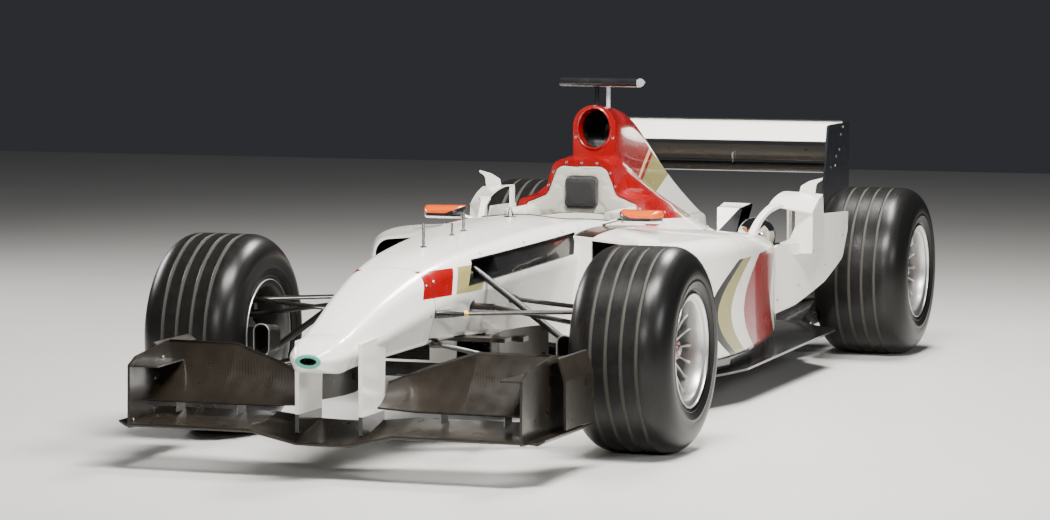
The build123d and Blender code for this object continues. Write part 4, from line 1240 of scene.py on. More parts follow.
# each row's points are metres behind the front axle, sideways and up; rays start there
fastenerRows = {
    "archFasteners": {
        "skin": ("engine_cover",), "way": "back",
        "spots": (
            (1.45, 0.0, 0.827), (1.45, 0.058, 0.827), (1.45, 0.107, 0.792), (1.45, 0.127, 0.742),
            (1.45, 0.223, 0.664), (1.45, 0.226, 0.624),
        ),
    },
    "intakeFasteners": {
        "skin": ("engine_cover",), "way": "back",
        "spots": ((1.60, 0.0, 1.0255), (1.60, 0.0715, 0.912)),
    },
    "coverFasteners": {
        "skin": ("engine_cover",), "way": "down",
        "spots": [(d, 0.262, 1.2) for d in (1.74, 1.88, 2.02, 2.16, 2.30)],
    },
    "podFasteners": {
        "skin": ("sidepods",), "way": "down",
        "spots": [(d, y, 1.2) for d in (1.30, 1.36) for y in (0.34, 0.44, 0.54)]
        + [(d, y, 1.2) for d in (2.17, 2.23) for y in (0.40, 0.48)],
    },
    "hatchFasteners": {
        "skin": ("monocoque",), "way": "inward",
        "spots": ((-0.090, 0.6, 0.612), (0.02, 0.6, 0.618), (0.36, 0.6, 0.630), (0.70, 0.6, 0.641)),
    },
    "noseFasteners": {
        "skin": ("monocoque", "nose_cone"), "way": "inward",
        "spots": ((-0.345, 0.5, 0.555), (-0.345, 0.5, 0.455), (-0.395, 0.5, 0.545), (-0.395, 0.5, 0.450)),
    },
    "shieldFasteners": {
        "skin": ("flip_ups",), "way": "inward",
        "spots": ((2.06, 1.0, 0.30), (2.24, 1.0, 0.34), (2.50, 1.0, 0.40), (2.70, 1.0, 0.50)),
    },
    "rearPlateBolts": {
        "skin": ("rear_endplates",), "way": "inward",
        "spots": (
            (3.24, 1.0, 0.727), (3.31, 1.0, 0.733), (3.325, 1.0, 0.770), (3.375, 1.0, 0.795),
            (3.395, 1.0, 0.856), (3.43, 1.0, 0.885), (3.25, 1.0, 0.368), (3.34, 1.0, 0.385),
        ),
    },
    "frontPlateBolts": {
        "skin": ("front_wing_endplates",), "way": "outward",
        "spots": ((-0.905, 0.30, 0.150), (-0.76, 0.30, 0.168), (-0.745, 0.30, 0.262), (-0.685, 0.30, 0.322)),
    },
}


def makeFasteners(name, row):
    skin = skinOf(*row["skin"])
    shape = bmesh.new()
    wide, high, slot = fastenerSet["radius"], fastenerSet["height"], fastenerSet["slot"]
    head = [(wide * r, high * h) for r, h in fastenerSet["head"]]
    reach, half = wide * slot["reach"], slot["half"]
    for distance, y, z in mirroredRows(row["spots"]):
        side = math.copysign(1, y)
        ways = {"back": (-1, 0, 0), "down": (0, 0, -1), "inward": (0, -side, 0), "outward": (0, side, 0)}
        found, normal = touch(skin, (behind(distance), y, z), ways[row["way"]])
        if found is None:
            continue
        place = frameAt(found - normal * fastenerSet["sunk"], normal)
        latheInto(shape, place, head, fastenerSet["turns"])
        edge = [(-reach, -half), (reach, -half), (reach, half), (-reach, half)]
        plateInto(shape, shifted(place, 0, 0, high * slot["height"]), edge, slot["thick"], slot["bevel"])
    fitted(name, shape, steelPin, "car", "cast_alloy")


for name, row in fastenerRows.items():
    makeFasteners(name, row)
print("fasteners set")

# soft pieces: each starts a little small and is blown up by cloth pressure against its held faces
softSet = {
    "headPad": {"voxel": 0.0050, "shrink": 0.0016, "pressure": 4.0, "most": 0.0070, "heldBehind": 1.5665},
    "headrestCollar": {
        "voxel": 0.0065, "shrink": 0.0016, "pressure": 3.0, "most": 0.0055, "heldBehind": 1.5935,
        "side": 0.2085, "sideAhead": 1.560, "foot": 0.6115, "nestHalf": 0.066, "nest": (0.657, 0.781),
    },
    "quality": 5,
    "mass": 0.25,
    "shrinkLeast": -0.02,
    "lastFrame": 20,
}


def settled(piece):
    # the piece as its modifiers leave it
    graph = bpy.context.evaluated_depsgraph_get()
    mesh = bpy.data.meshes.new_from_object(piece.evaluated_get(graph), depsgraph=graph)
    piece.modifiers.clear()
    return mesh


def pressed(piece, pressure):
    # runs the cloth and gives each point's place at its end
    cloth = piece.modifiers.new("cloth", "CLOTH")
    cloth.settings.quality = softSet["quality"]
    cloth.settings.mass = softSet["mass"]
    cloth.settings.use_pressure = True
    cloth.settings.uniform_pressure_force = pressure
    cloth.settings.effector_weights.gravity = 0
    cloth.settings.vertex_group_mass = "held"
    cloth.settings.shrink_min = softSet["shrinkLeast"]
    cloth.point_cache.frame_start = 1
    cloth.point_cache.frame_end = softSet["lastFrame"]
    for frameNumber in range(1, softSet["lastFrame"] + 1):
        bpy.context.scene.frame_set(frameNumber)
    spots = [v.co.copy() for v in settled(piece).vertices]
    bpy.context.scene.frame_set(1)
    return spots


def blownUp(name, nodeName, isHeld, finish, slotName):
    look = softSet[name]
    piece = bpy.data.objects.new(name, nodes[nodeName].data.copy())
    bpy.context.scene.collection.objects.link(piece)
    piece.data.materials.clear()
    even = piece.modifiers.new("even", "REMESH")
    even.mode = "VOXEL"
    even.voxel_size = look["voxel"]
    mesh = settled(piece)
    piece.data = mesh
    start = [v.co - v.normal * look["shrink"] for v in mesh.vertices]
    held = [v.index for v in mesh.vertices if isHeld(v.co, look)]
    for vertex, spot in zip(mesh.vertices, start):
        vertex.co = spot
    piece.vertex_groups.new(name="held").add(held, 1.0, "REPLACE")
    for vertex, spot, first in zip(mesh.vertices, pressed(piece, look["pressure"]), start):
        move = spot - first
        if move.length > look["most"]:
            move = move.normalized() * look["most"]
        vertex.co = first + move
    smooth = piece.modifiers.new("round", "SUBSURF")
    smooth.levels = smooth.render_levels = 1
    piece.data = settled(piece)
    piece.data.shade_smooth()
    seat(piece, finish, "car", slotName, nodeName)


def padHeld(spot, look):
    return spot.x < behind(look["heldBehind"])


def collarHeld(spot, look):
    back = spot.x < behind(look["heldBehind"])
    side = abs(spot.y) > look["side"] and spot.x > behind(look["sideAhead"])
    low, high = look["nest"]
    nest = abs(spot.y) < look["nestHalf"] and low < spot.z < high
    return back or side or spot.z < look["foot"] or nest


blownUp("headPad", "head_pad", padHeld, padCloth, "pad_cloth")
blownUp("headrestCollar", "headrest_collar", collarHeld, collarCloth, "collar_cover")
print("soft pieces blown up")

# piped seams, laid on the soft pieces by rays from ahead
seamSet = {
    "radius": 0.0014,
    "proud": 0.0004,
    "startsAt": 1.45,
    "padPath": (0.052, 0.047, 0.016),
    "padHeight": 0.719,
    "collarPath": ((0.206, 0.617), (0.206, 0.671), (0.129, 0.704), (0.087, 0.808)),   # one half
    "collarRadius": 0.030,
    "spacing": 0.006,
}


def spaced(path, spacing):
    # points along a path, no further apart than the spacing
    points = []
    for here, there in zip(path, path[1:]):
        parts = max(1, int((there - here).length / spacing))
        points += [here.lerp(there, k / parts) for k in range(parts)]
    return points


def makeSeam(name, pieceName, path, finish, slotName, closed):
    skin = skinOf(pieceName)
    points = []
    for y, z in path:
        found, normal = touch(skin, (behind(seamSet["startsAt"]), y, z), (-1, 0, 0))
        if found is not None:
            points.append(found + Vector((seamSet["proud"], 0, 0)))
    shape = bmesh.new()
    tubeInto(shape, points, seamSet["radius"], 8, closed)
    fitted(name, shape, finish, "car", slotName)


padPath = [(y, z + seamSet["padHeight"]) for y, z in rounded(*seamSet["padPath"])]
makeSeam("padSeam", "headPad", padPath, padCloth, "pad_cloth", True)
half = seamSet["collarPath"]
whole = softCorners([(y, z, 0) for y, z in half + tuple(otherHalf(half))], seamSet["collarRadius"], 8)
collarPath = [(p.x, p.y) for p in spaced(whole, seamSet["spacing"])]
makeSeam("collarSeam", "headrestCollar", collarPath, collarCloth, "collar_cover", False)

# harness: two shoulder belts down the seat's back, two lap belts, and the buckle
beltSet = {
    "width": 0.050,
    "thick": 0.0026,
    # metres behind the front axle, sideways and up, with the lift off the seat
    "shoulder": (
        (1.5285, 0.080, 0.5660, 0.0026), (1.5150, 0.080, 0.5665, 0.0026), (1.4940, 0.072, 0.4290, 0.004),
        (1.3870, 0.040, 0.2340, 0.004), (1.3050, 0.024, 0.2295, 0.004),
    ),
    "shoulderCorner": 0.030,
    "liftLean": 0.9,
    "lap": ((1.372, 0.172, 0.235), (1.350, 0.110, 0.2345), (1.310, 0.050, 0.2365), (1.292, 0.020, 0.2420)),
    "lapCorner": 0.020,
    "buckle": (1.288, 0.2400),
    "buckleLean": (0.12, 0, 1),
    "buckleRings": (
        (0.026, 0.0), (0.029, 0.002), (0.029, 0.010), (0.026, 0.014),
        (0.018, 0.0155), (0.017, 0.0135), (0.004, 0.0135),
    ),
    "tongueTurns": (35, 145, 215, 325),
    "tongue": (0.009, 0.012, 0.003),
    "tongueAt": (0.030, 0, 0.003),
    "tongueThick": 0.004,
}


def makeHarness():
    wide, thick = beltSet["width"], beltSet["thick"]
    shape = bmesh.new()
    for side in (1, -1):
        shoulder = []
        for d, y, z, lift in beltSet["shoulder"]:
            shoulder.append((behind(d) + lift * beltSet["liftLean"], side * y, z + lift))
        stripInto(shape, softCorners(shoulder, beltSet["shoulderCorner"]), (0, 1, 0), wide, thick)
        lap = [(behind(d), side * y, z) for d, y, z in beltSet["lap"]]
        stripInto(shape, softCorners(lap, beltSet["lapCorner"]), (1, 0, 0), wide, thick)
    fitted("harness", shape, beltWeb, "car", "pad_cloth")
    shape = bmesh.new()
    distance, z = beltSet["buckle"]
    place = frameAt((behind(distance), 0, z), beltSet["buckleLean"])
    latheInto(shape, place, beltSet["buckleRings"], 32)
    for turn in beltSet["tongueTurns"]:
        spot = place @ Matrix.Rotation(math.radians(turn), 4, "Z")
        spot = shifted(spot, *beltSet["tongueAt"])
        plateInto(shape, spot, rounded(*beltSet["tongue"]), beltSet["tongueThick"])
    fitted("beltBuckle", shape, steelPin, "car", "cast_alloy")


makeHarness()

# the hand wheel, drawn in its own plane: u to the driver's right, v up, w towards the driver
handWheelSet = {
    "hub": (1.085, 0.585),
    "tilt": 18,
    "half": (0.118, 0.050),
    "cornerRadius": 0.044,
    "gripRadius": 0.0125,
    "gripFlat": 0.80,
    "gripSides": 14,
    "thinnest": 0.72,
    "swell": 0.30,
    "swellFrom": 0.060,
    "swellOver": 0.050,
    "ripple": 0.05,
    "rippleFrom": 0.100,
    "plate": (
        (0.050, -0.052), (0.062, -0.046), (0.070, -0.010), (0.108, -0.012),
        (0.108, 0.014), (0.070, 0.016), (0.060, 0.046),
    ),
    "plateThick": 0.016,
    "plateBevel": 0.0016,
    "plateBack": -0.008,
    "column": (
        (0.0115, 0.0), (0.0115, 0.050), (0.022, 0.054), (0.024, 0.060), (0.024, 0.078), (0.020, 0.088),
    ),
    "columnBack": -0.095,
    "paddle": ((0, -0.020), (0.046, -0.030), (0.052, 0.026), (0, 0.018)),
    "paddlePlace": (0.070, -0.020),
    "paddleThick": 0.003,
    "buttons": (
        (-0.040, 0.026), (-0.014, 0.030), (0.014, 0.030), (0.040, 0.026), (-0.046, 0.002), (0.046, 0.002),
        (-0.040, -0.022), (0.040, -0.022),
    ),
    "button": ((0.0062, 0.0), (0.0062, 0.004), (0.0050, 0.0055), (0.0010, 0.0058)),
    "dials": ((-0.018, -0.028), (0.018, -0.028)),
    "dial": ((0.0090, 0.0), (0.0085, 0.008), (0.0070, 0.0095), (0.0010, 0.0098)),
    "knobSunk": 0.001,
    "display": (0.028, 0.015, 0.003),
    "displayUp": 0.002,
    "displayThick": 0.0026,
    "displaySunk": 0.0004,
}


def wheelPlane():
    turn = math.radians(handWheelSet["tilt"])
    distance, z = handWheelSet["hub"]
    rows = ((0, -1, 0), (math.sin(turn), 0, math.cos(turn)), (-math.cos(turn), 0, math.sin(turn)))
    place = Matrix(rows).transposed().to_4x4()
    place.translation = Vector((behind(distance), 0, z))
    return place


def gripInto(shape, place):
    # the rim's section swells towards both hands, where it is rippled
    look = handWheelSet
    path = rounded(*look["half"], look["cornerRadius"], 10)
    loops = []
    for k, (u, v) in enumerate(path):
        run = (Vector(path[(k + 1) % len(path)]) - Vector(path[k - 1])).normalized()
        share = min(1.0, max(0.0, (abs(u) - look["swellFrom"]) / look["swellOver"]))
        fat = look["gripRadius"] * (look["thinnest"] + look["swell"] * share)
        rippled = abs(u) > look["rippleFrom"] and k % 2
        flat = fat * look["gripFlat"] * (1.0 + look["ripple"] if rippled else 1.0)
        loop = []
        for a in around(look["gripSides"]):
            out = math.cos(a) * flat
            loop.append(place @ Vector((u + run.y * out, v - run.x * out, math.sin(a) * fat)))
        loops.append(loop)
    loopsInto(shape, loops, True)


def makeHandWheel():
    look = handWheelSet
    place = wheelPlane()
    shape = bmesh.new()
    gripInto(shape, place)
    edge = list(look["plate"]) + otherHalf(look["plate"])
    spot = shifted(place, 0, 0, look["plateBack"])
    plateInto(shape, spot, edge, look["plateThick"], look["plateBevel"])
    latheInto(shape, shifted(place, 0, 0, look["columnBack"]), look["column"], 28)
    across, back = look["paddlePlace"]
    for side in (1, -1):
        edge = [(side * u, v) for u, v in look["paddle"]]
        plateInto(shape, shifted(place, side * across, 0, back), edge, look["paddleThick"])
    fitted("handWheel", shape, blackGrip, "hand_wheel", "black_grip", "steering_wheel")
    shape = bmesh.new()
    top = look["plateThick"] + look["plateBack"]
    for spots, profile, turns in ((look["buttons"], look["button"], 16), (look["dials"], look["dial"], 10)):
        for u, v in spots:
            latheInto(shape, shifted(place, u, v, top - look["knobSunk"]), profile, turns)
    fitted("wheelButtons", shape, tapeYellow, "hand_wheel", "black_grip")
    shape = bmesh.new()
    spot = shifted(place, 0, look["displayUp"], top - look["displaySunk"])
    plateInto(shape, spot, rounded(*look["display"]), look["displayThick"])
    fitted("wheelDisplay", shape, displayGlass, "hand_wheel", "black_grip")


makeHandWheel()
print("cockpit fitted")

intakeSet = {"place": (1.699, 0.946), "half": (0.064, 0.076), "radius": 0.0042, "parts": 56}


def makeIntakeLip():
    distance, middle = intakeSet["place"]
    wide, high = intakeSet["half"]
    turns = around(intakeSet["parts"])
    ring = [(behind(distance), math.cos(a) * wide, middle + math.sin(a) * high) for a in turns]
    shape = bmesh.new()
    tubeInto(shape, ring, intakeSet["radius"], 10, True)
    fitted("intakeLip", shape, lipRed, "car", "body_paint")


# a rolled edge of rubber round the cockpit's opening, laid on the tub's skin
cockpitSet = {
    "path": ((1.552, 0.2185), (1.180, 0.2185), (0.896, 0.1530)),   # one half
    "cornerRadius": 0.060,
    "spacing": 0.012,
    "radius": 0.0030,
    "frontFrom": 0.93,
    "frontAway": 0.004,
    "sideAway": 0.003,
    "rayFrom": 1.2,
    "lowest": 0.55,
    "proud": 0.0006,
}


def makeCockpitEdge():
    look = cockpitSet
    skin = skinOf("monocoque")
    outline = list(look["path"]) + [(d, -y) for d, y in reversed(look["path"])]
    path = softCorners([(behind(d), y, 0.0) for d, y in outline], look["cornerRadius"], 8)
    laid = []
    for point in spaced(path, look["spacing"]):
        ahead = look["frontAway"] if point.x > behind(look["frontFrom"]) else 0
        start = point + Vector((ahead, math.copysign(look["sideAway"], point.y), look["rayFrom"]))
        found, normal = touch(skin, start, (0, 0, -1))
        if found is not None and found.z > look["lowest"]:
            laid.append(Vector((point.x, point.y, found.z + look["proud"])))
    shape = bmesh.new()
    tubeInto(shape, laid, look["radius"])
    fitted("cockpitEdge", shape, blackGrip, "car", "black_grip")


# gurney strips along the wings' trailing edges: behind the front axle, sideways and up
gurneySet = {
    "high": 0.010,
    "thick": 0.0016,
    "sunk": 0.0015,
    "front": ((-0.690, 0.124, 0.268), (-0.668, 0.250, 0.318), (-0.650, 0.400, 0.366), (-0.640, 0.634, 0.366)),
    "frontLean": (0.25, 0, 0.97),
    "rear": ((3.450, -0.488, 0.903), (3.450, 0.488, 0.903)),
    "rearLean": (0.70, 0, 0.72),
}


def makeGurney(name, points, lean, side=1):
    shape = bmesh.new()
    high = gurneySet["high"]
    rise = Vector(lean) * (high / 2 - gurneySet["sunk"])
    rows = [Vector((behind(d), side * y, z)) + rise for d, y, z in points]
    stripInto(shape, rows, lean, high, gurneySet["thick"])
    fitted(name, shape, bareCarbon, "car", "bare_carbon")


# small brackets: places behind the front axle, sideways and up, and outlines in the bracket's own plane
bracketSet = {
    "slotPlaces": (0.335, 0.540),
    "slotAt": (-0.765, 0.186),
    "slotThick": 0.003,
    "slotEdge": ((-0.034, 0.020), (0.036, 0.020), (0.028, -0.016), (-0.030, -0.014)),
    "wingAt": (3.318, 0.068, 0.762),
    "wingEdge": ((-0.020, 0.030), (0.018, 0.024), (0.026, -0.014), (-0.016, -0.022)),
    "wingThick": 0.004,
    "shelfAt": (-0.640, 0.636, 0.3190),
    "shelfEdge": ((-0.016, 0.0), (0.016, 0.0), (0.014, -0.026), (-0.014, -0.026)),
    "shelfThick": 0.003,
    "boltAt": (-0.640, 0.622, 0.3220),
    "bolt": ((0.006, 0.0), (0.006, 0.004), (0.004, 0.005), (0.001, 0.005)),
}


def makeBrackets():
    look = bracketSet
    upright = ((0, 1, 0), (1, 0, 0))
    shape = bmesh.new()
    distance, z = look["slotAt"]
    for y in look["slotPlaces"]:
        for side in (1, -1):
            place = frameAt((behind(distance), side * y - look["slotThick"] / 2, z), *upright)
            plateInto(shape, place, look["slotEdge"], look["slotThick"])
    fitted("slotBrackets", shape, castAlloy, "car", "cast_alloy")
    # one small bracket holds the wing's two lower elements near mid span
    shape = bmesh.new()
    distance, y, z = look["wingAt"]
    plateInto(shape, frameAt((behind(distance), y, z), *upright), look["wingEdge"], look["wingThick"])
    fitted("wingBracket", shape, steelPin, "car", "cast_alloy")
    shape = bmesh.new()
    for side in (1, -1):
        distance, y, z = look["shelfAt"]
        place = frameAt((behind(distance), side * y, z), (0, 0, 1), (1, 0, 0))
        plateInto(shape, place, [(u, side * v) for u, v in look["shelfEdge"]], look["shelfThick"])
        distance, y, z = look["boltAt"]
        latheInto(shape, frameAt((behind(distance), side * y, z), (0, 0, 1)), look["bolt"], 6)
    fitted("shelfBrackets", shape, steelPin, "car", "cast_alloy")


mirrorSet = {
    "place": (1.1296, 0.3665, 0.6690),
    "half": (0.072, 0.0205),
    "cornerRadius": 0.009,
    "thick": 0.0016,
    "bevel": 0.0006,
}


def makeMirrorGlass():
    shape = bmesh.new()
    distance, y, z = mirrorSet["place"]
    for side in (1, -1):
        place = frameAt((behind(distance), side * y, z), (-1, 0, 0), (0, 1, 0))
        edge = rounded(*mirrorSet["half"], mirrorSet["cornerRadius"])
        plateInto(shape, place, edge, mirrorSet["thick"], mirrorSet["bevel"])
    fitted("mirrorGlass", shape, mirrorSilver, "car", "mirror_shell")


cameraBarSet = {
    "front": 1.7530,
    "height": 1.112,
    "windows": (-0.105, 0.075, 0.118),
    "window": ((0.0095, -0.006), (0.0095, 0.001), (0.0080, 0.0022), (0.0066, 0.0012), (0.0010, 0.0010)),
}


def makeCameraWindows():
    shape = bmesh.new()
    for y in cameraBarSet["windows"]:
        place = frameAt((behind(cameraBarSet["front"]), y, cameraBarSet["height"]), (1, 0, 0))
        latheInto(shape, place, cameraBarSet["window"])
    fitted("cameraWindows", shape, displayGlass, "car", "black_grip")


# rubber rings at the feet of the nose masts: place behind the front axle and radius
grommetSet = {
    "masts": ((-0.062, 0.011), (0.202, 0.010), (0.312, 0.011), (0.776, 0.021)),
    "section": ((1.0, 0.0), (1.0, 0.002), (0.86, 0.0036), (0.5, 0.0042)),   # share of the radius, and height
    "sunk": 0.001,
}


def makeGrommets():
    skin = skinOf("monocoque", "nose_cone")
    shape = bmesh.new()
    for distance, radius in grommetSet["masts"]:
        found, normal = touch(skin, (behind(distance), 0.0001, 1.0), (0, 0, -1))
        place = frameAt(found - normal * grommetSet["sunk"], normal)
        latheInto(shape, place, [(radius * share, height) for share, height in grommetSet["section"]], 24)
    fitted("mastGrommets", shape, blackGrip, "car", "black_grip")


pullSet = {
    "place": (1.7000, 0.830),
    "rod": (-0.058, -0.070, -0.084, -0.099),
    "rodRadius": 0.0042,
    "knobAt": -0.097,
    "knob": ((0.0042, 0.0), (0.0066, 0.0015), (0.0066, 0.0060), (0.0040, 0.0076)),
}


def makePull():
    shape = bmesh.new()
    distance, z = pullSet["place"]
    tubeInto(shape, [(behind(distance), y, z) for y in pullSet["rod"]], pullSet["rodRadius"], 12)
    latheInto(shape, frameAt((behind(distance), pullSet["knobAt"], z), (0, -1, 0)), pullSet["knob"], 16)
    fitted("firePull", shape, pullRed, "car", "lamp_red")


makeIntakeLip()
makeCockpitEdge()
makeGurney("frontGurneyLeft", gurneySet["front"], gurneySet["frontLean"])
makeGurney("frontGurneyRight", gurneySet["front"], gurneySet["frontLean"], -1)
makeGurney("rearGurney", gurneySet["rear"], gurneySet["rearLean"])
makeBrackets()
makeMirrorGlass()
makeCameraWindows()
makeGrommets()
makePull()
print("bodywork fitted")

# suspension arms: the roots of each pair, and the ball pin where they meet
armSet = {
    "frontUpper": {
        "roots": ((-0.360, 0.156, 0.456), (0.250, 0.184, 0.452)), "ball": (0, 0.630, 0.446),
    },
    "frontLower": {
        "roots": ((-0.290, 0.108, 0.356), (0.300, 0.148, 0.300)), "ball": (0, 0.630, 0.212),
    },
    "rearUpper": {
        "roots": ((2.720, 0.116, 0.410), (3.190, 0.072, 0.400)), "ball": (layout["wheelbase"], 0.605, 0.440),
    },
    "rearLower": {
        "roots": ((2.640, 0.118, 0.225), (3.200, 0.058, 0.285)), "ball": (layout["wheelbase"], 0.605, 0.215),
    },
}
cuffSet = {
    "section": ((0.0225, 0.0), (0.0225, 0.012), (0.0205, 0.020), (0.0160, 0.030), (0.0138, 0.036)),
    "flat": 0.66,
    "sunk": 0.006,
    "fairing": 2.6,   # the front upper arm's leading cuff is this much longer
    "nearest": 0.15,
}


def spotAt(place, side=1):
    distance, y, z = place
    return Vector((behind(distance), side * y, z))


def makeCuffs():
    frontSkin = skinOf("monocoque", "nose_cone")
    rearSkin = skinOf("gearbox", "engine_cover", "sidepods", "diffuser")
    shape = bmesh.new()
    for key, arm in armSet.items():
        skin = frontSkin if key.startswith("front") else rearSkin
        for root in arm["roots"]:
            for side in (1, -1):
                ball = spotAt(arm["ball"], side)
                way = (spotAt(root, side) - ball).normalized()
                found, normal = touch(skin, ball, way)
                if found is None or (found - ball).length < cuffSet["nearest"]:
                    continue
                long = cuffSet["fairing"] if key == "frontUpper" and root[0] < 0 else 1.0
                place = frameAt(found + way * cuffSet["sunk"], -way, (1, 0, 0))
                latheInto(shape, place, [(r, h * long) for r, h in cuffSet["section"]], 28, cuffSet["flat"])
    fitted("armCuffs", shape, linkCarbon, "car", "link_carbon")


tapeSet = {
    "along": 0.088,
    "flat": 0.64,
    "section": ((0.0126, 0.0), (0.0138, 0.0005), (0.0140, 0.0075), (0.0138, 0.0145), (0.0126, 0.0150)),
}


def makeTape():
    # a yellow band round the left front upper arm
    arm = armSet["frontUpper"]
    root = spotAt(arm["roots"][0])
    way = (spotAt(arm["ball"]) - root).normalized()
    shape = bmesh.new()
    place = frameAt(root + way * tapeSet["along"], way, (1, 0, 0))
    latheInto(shape, place, tapeSet["section"], 32, tapeSet["flat"])
    fitted("yellowTape", shape, tapeYellow, "car", "link_carbon")


pinNutSet = {
    "off": 0.0122,
    "section": (
        (0.0118, 0.0), (0.0118, 0.0065), (0.0106, 0.0080),
        (0.0066, 0.0080), (0.0066, 0.0100), (0.0052, 0.0108),
    ),
}


def makePinNuts(end, word, side):
    shape = bmesh.new()
    for level, up in (("Upper", 1), ("Lower", -1)):
        place = spotAt(armSet[end + level]["ball"], side) + Vector((0, 0, up * pinNutSet["off"]))
        latheInto(shape, frameAt(place, (0, 0, up)), pinNutSet["section"], 6)
    body = "knuckle_" + word if end == "front" else "car"
    fitted("pinNuts-%s-%s" % (end, word), shape, steelPin, body, "cast_alloy")


ductSet = {"ahead": 0.1765, "middle": 0.522, "half": (0.0270, 0.0520), "cornerRadius": 0.0250, "lip": 0.0026}


def makeDuctLip(word, side):
    shape = bmesh.new()
    x, y, z = layout["frontAxleX"] + ductSet["ahead"], side * ductSet["middle"], layout["tyreRadius"]
    ring = [(x, y + u, z + v) for u, v in rounded(*ductSet["half"], ductSet["cornerRadius"], 8)]
    tubeInto(shape, ring, ductSet["lip"], 10, True)
    fitted("ductLip-" + word, shape, castAlloy, "knuckle_" + word, "cast_alloy")


# driveshaft boots: rubber pleats that step down in radius, one boot at each end of the shaft
bootSet = {
    "ends": ((0.140, 1), (0.585, -1)),   # sideways place of the wide end, and which way the boot runs
    "shaft": 0.0225,
    "pleats": 5,
    "widest": 0.040,
    "stepDown": 0.0028,
    "pitch": 0.011,
    "valley": 0.006,
    "pleat": (0.003, 0.006, 0.0095),   # start, end and valley of a pleat along the shaft
    "clamp": ((0.0240, 0.058), (0.0240, 0.068), (0.0225, 0.069)),
}


def makeBoots(word, side):
    profile = [(bootSet["shaft"], 0.0)]
    start, end, low = bootSet["pleat"]
    for k in range(bootSet["pleats"]):
        reach, along = bootSet["widest"] - bootSet["stepDown"] * k, bootSet["pitch"] * k
        profile += [(reach, start + along), (reach, end + along), (reach - bootSet["valley"], low + along)]
    profile += bootSet["clamp"]
    shape = bmesh.new()
    for first, way in bootSet["ends"]:
        place = frameAt((layout["rearAxleX"], side * first, layout["tyreRadius"]), (0, side * way, 0))
        latheInto(shape, place, profile, 36)
    fitted("driveBoots-" + word, shape, blackGrip, "wheel_rear_" + word, "black_grip")


# clamp ring with its bolts where the crash cone meets the gearbox, and the rain light's lenses
tailSet = {
    "clampAt": (3.2340, 0.340),
    "clampHalf": (0.0790, 0.0740),
    "clampCorner": 0.034,
    "clampThick": 0.0080,
    "clampBevel": 0.0012,
    "bolts": (
        (0.058, 0.060), (-0.058, 0.060), (0.058, -0.058), (-0.058, -0.058), (0.0735, 0.0), (-0.0735, 0.0),
    ),
    "bolt": ((0.0062, -0.001), (0.0062, 0.0040), (0.0050, 0.0050), (0.0010, 0.0050)),
    "boltProud": 0.0002,
    "lensAt": (3.5375, -0.024, 0.3180),
    "lensGrid": (5, 4),
    "lensPitch": 0.012,
    "lens": ((0.0048, 0.0), (0.0048, 0.0010), (0.0038, 0.0022), (0.0020, 0.0029), (0.0005, 0.0030)),
}


def makeTail():
    look = tailSet
    shape = bmesh.new()
    distance, z = look["clampAt"]
    place = frameAt((behind(distance), 0, z), (1, 0, 0), (0, 1, 0))
    edge = rounded(*look["clampHalf"], look["clampCorner"], 8)
    plateInto(shape, place, edge, look["clampThick"], look["clampBevel"])
    for u, v in look["bolts"]:
        place = frameAt((behind(distance) - look["boltProud"], u, z + v), (-1, 0, 0))
        latheInto(shape, place, look["bolt"], 6)
    fitted("coneClamp", shape, steelPin, "car", "cast_alloy")
    shape = bmesh.new()
    distance, y, z = look["lensAt"]
    columns, rows = look["lensGrid"]
    for column in range(columns):
        for row in range(rows):
            spot = (behind(distance), y + column * look["lensPitch"], z + row * look["lensPitch"])
            latheInto(shape, frameAt(spot, (-1, 0, 0)), look["lens"], 14)
    fitted("lampLenses", shape, lampRed, "car", "lamp_red")


makeCuffs()
makeTape()
sides = (("left", 1), ("right", -1))
for end in ("front", "rear"):
    for word, side in sides:
        makePinNuts(end, word, side)
for maker in (makeDuctLip, makeBoots):
    for word, side in sides:
        maker(word, side)
makeTail()
print("running gear fitted")

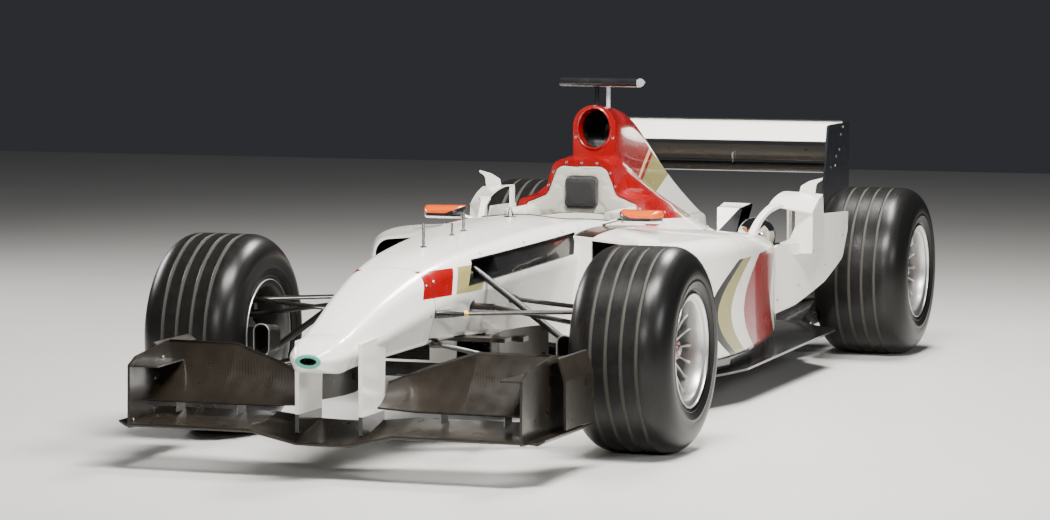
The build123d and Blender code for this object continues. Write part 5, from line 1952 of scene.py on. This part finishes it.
stageSet = {
    "hall": (0.030, 0.032, 0.036, 1),
    "board": (0.66, 0.65, 0.62, 1),
    "boardWorn": (0.56, 0.55, 0.53, 1),
    "boardRoughness": 0.38,
    "floorHalf": 14,
    # name, place, aim, size, power and tint
    "lamps": (
        ("overheadFront", (2.4, 1.2, 4.2), (0.8, 0, 0.4), (2.2, 0.9), 560, (1.0, 0.98, 0.95)),
        ("overheadRear", (-2.0, 0.8, 4.2), (-1.6, 0, 0.5), (2.2, 0.9), 420, (1.0, 0.98, 0.95)),
        ("leftFill", (3.4, 6.5, 3.4), (0.2, 0.4, 0.5), (2.6, 1.4), 170, (0.98, 0.99, 1.0)),
        ("rightRim", (-1.5, -6.0, 3.0), (-0.5, 0, 0.5), (3.0, 1.2), 240, (1.0, 1.0, 1.0)),
        ("noseFill", (8.5, 1.0, 3.4), (1.6, 0, 0.4), (2.2, 1.0), 200, (1.0, 1.0, 1.0)),
    ),
}


def makeFloor():
    mesh = bpy.data.meshes.new("paleFloor")
    shape = bmesh.new()
    bmesh.ops.create_grid(shape, x_segments=4, y_segments=4, size=stageSet["floorHalf"])
    shape.to_mesh(mesh)
    shape.free()
    ground = bpy.data.objects.new("paleFloor", mesh)
    bpy.context.scene.collection.objects.link(ground)
    finish, tree, shader = newFinish("floorBoard")
    patches = spread(noise(axes(tree)[0], 1.3, 5.0), 0.0, 0.3)
    feed(shader["Base Color"], over(patches, stageSet["board"], stageSet["boardWorn"]))
    feed(shader["Roughness"], stageSet["boardRoughness"])
    mesh.materials.append(finish)


def makeLamp(name, place, aim, size, power, tint):
    data = bpy.data.lights.new(name, "AREA")
    data.shape = "RECTANGLE"
    data.size, data.size_y = size
    data.energy = power
    data.color = tint
    lamp = bpy.data.objects.new(name, data)
    bpy.context.scene.collection.objects.link(lamp)
    place = Vector(place)
    turn = (Vector(aim) - place).to_track_quat("-Z", "Y").to_matrix().to_4x4()
    lamp.matrix_world = Matrix.Translation(place) @ turn


hall = bpy.data.worlds.new("hall")
hall.use_nodes = True
air = hall.node_tree.nodes["Background"].inputs
feed(air["Color"], stageSet["hall"])
feed(air["Strength"], 1.0)
bpy.context.scene.world = hall
makeFloor()
for lamp in stageSet["lamps"]:
    makeLamp(*lamp)
print("stage lit")
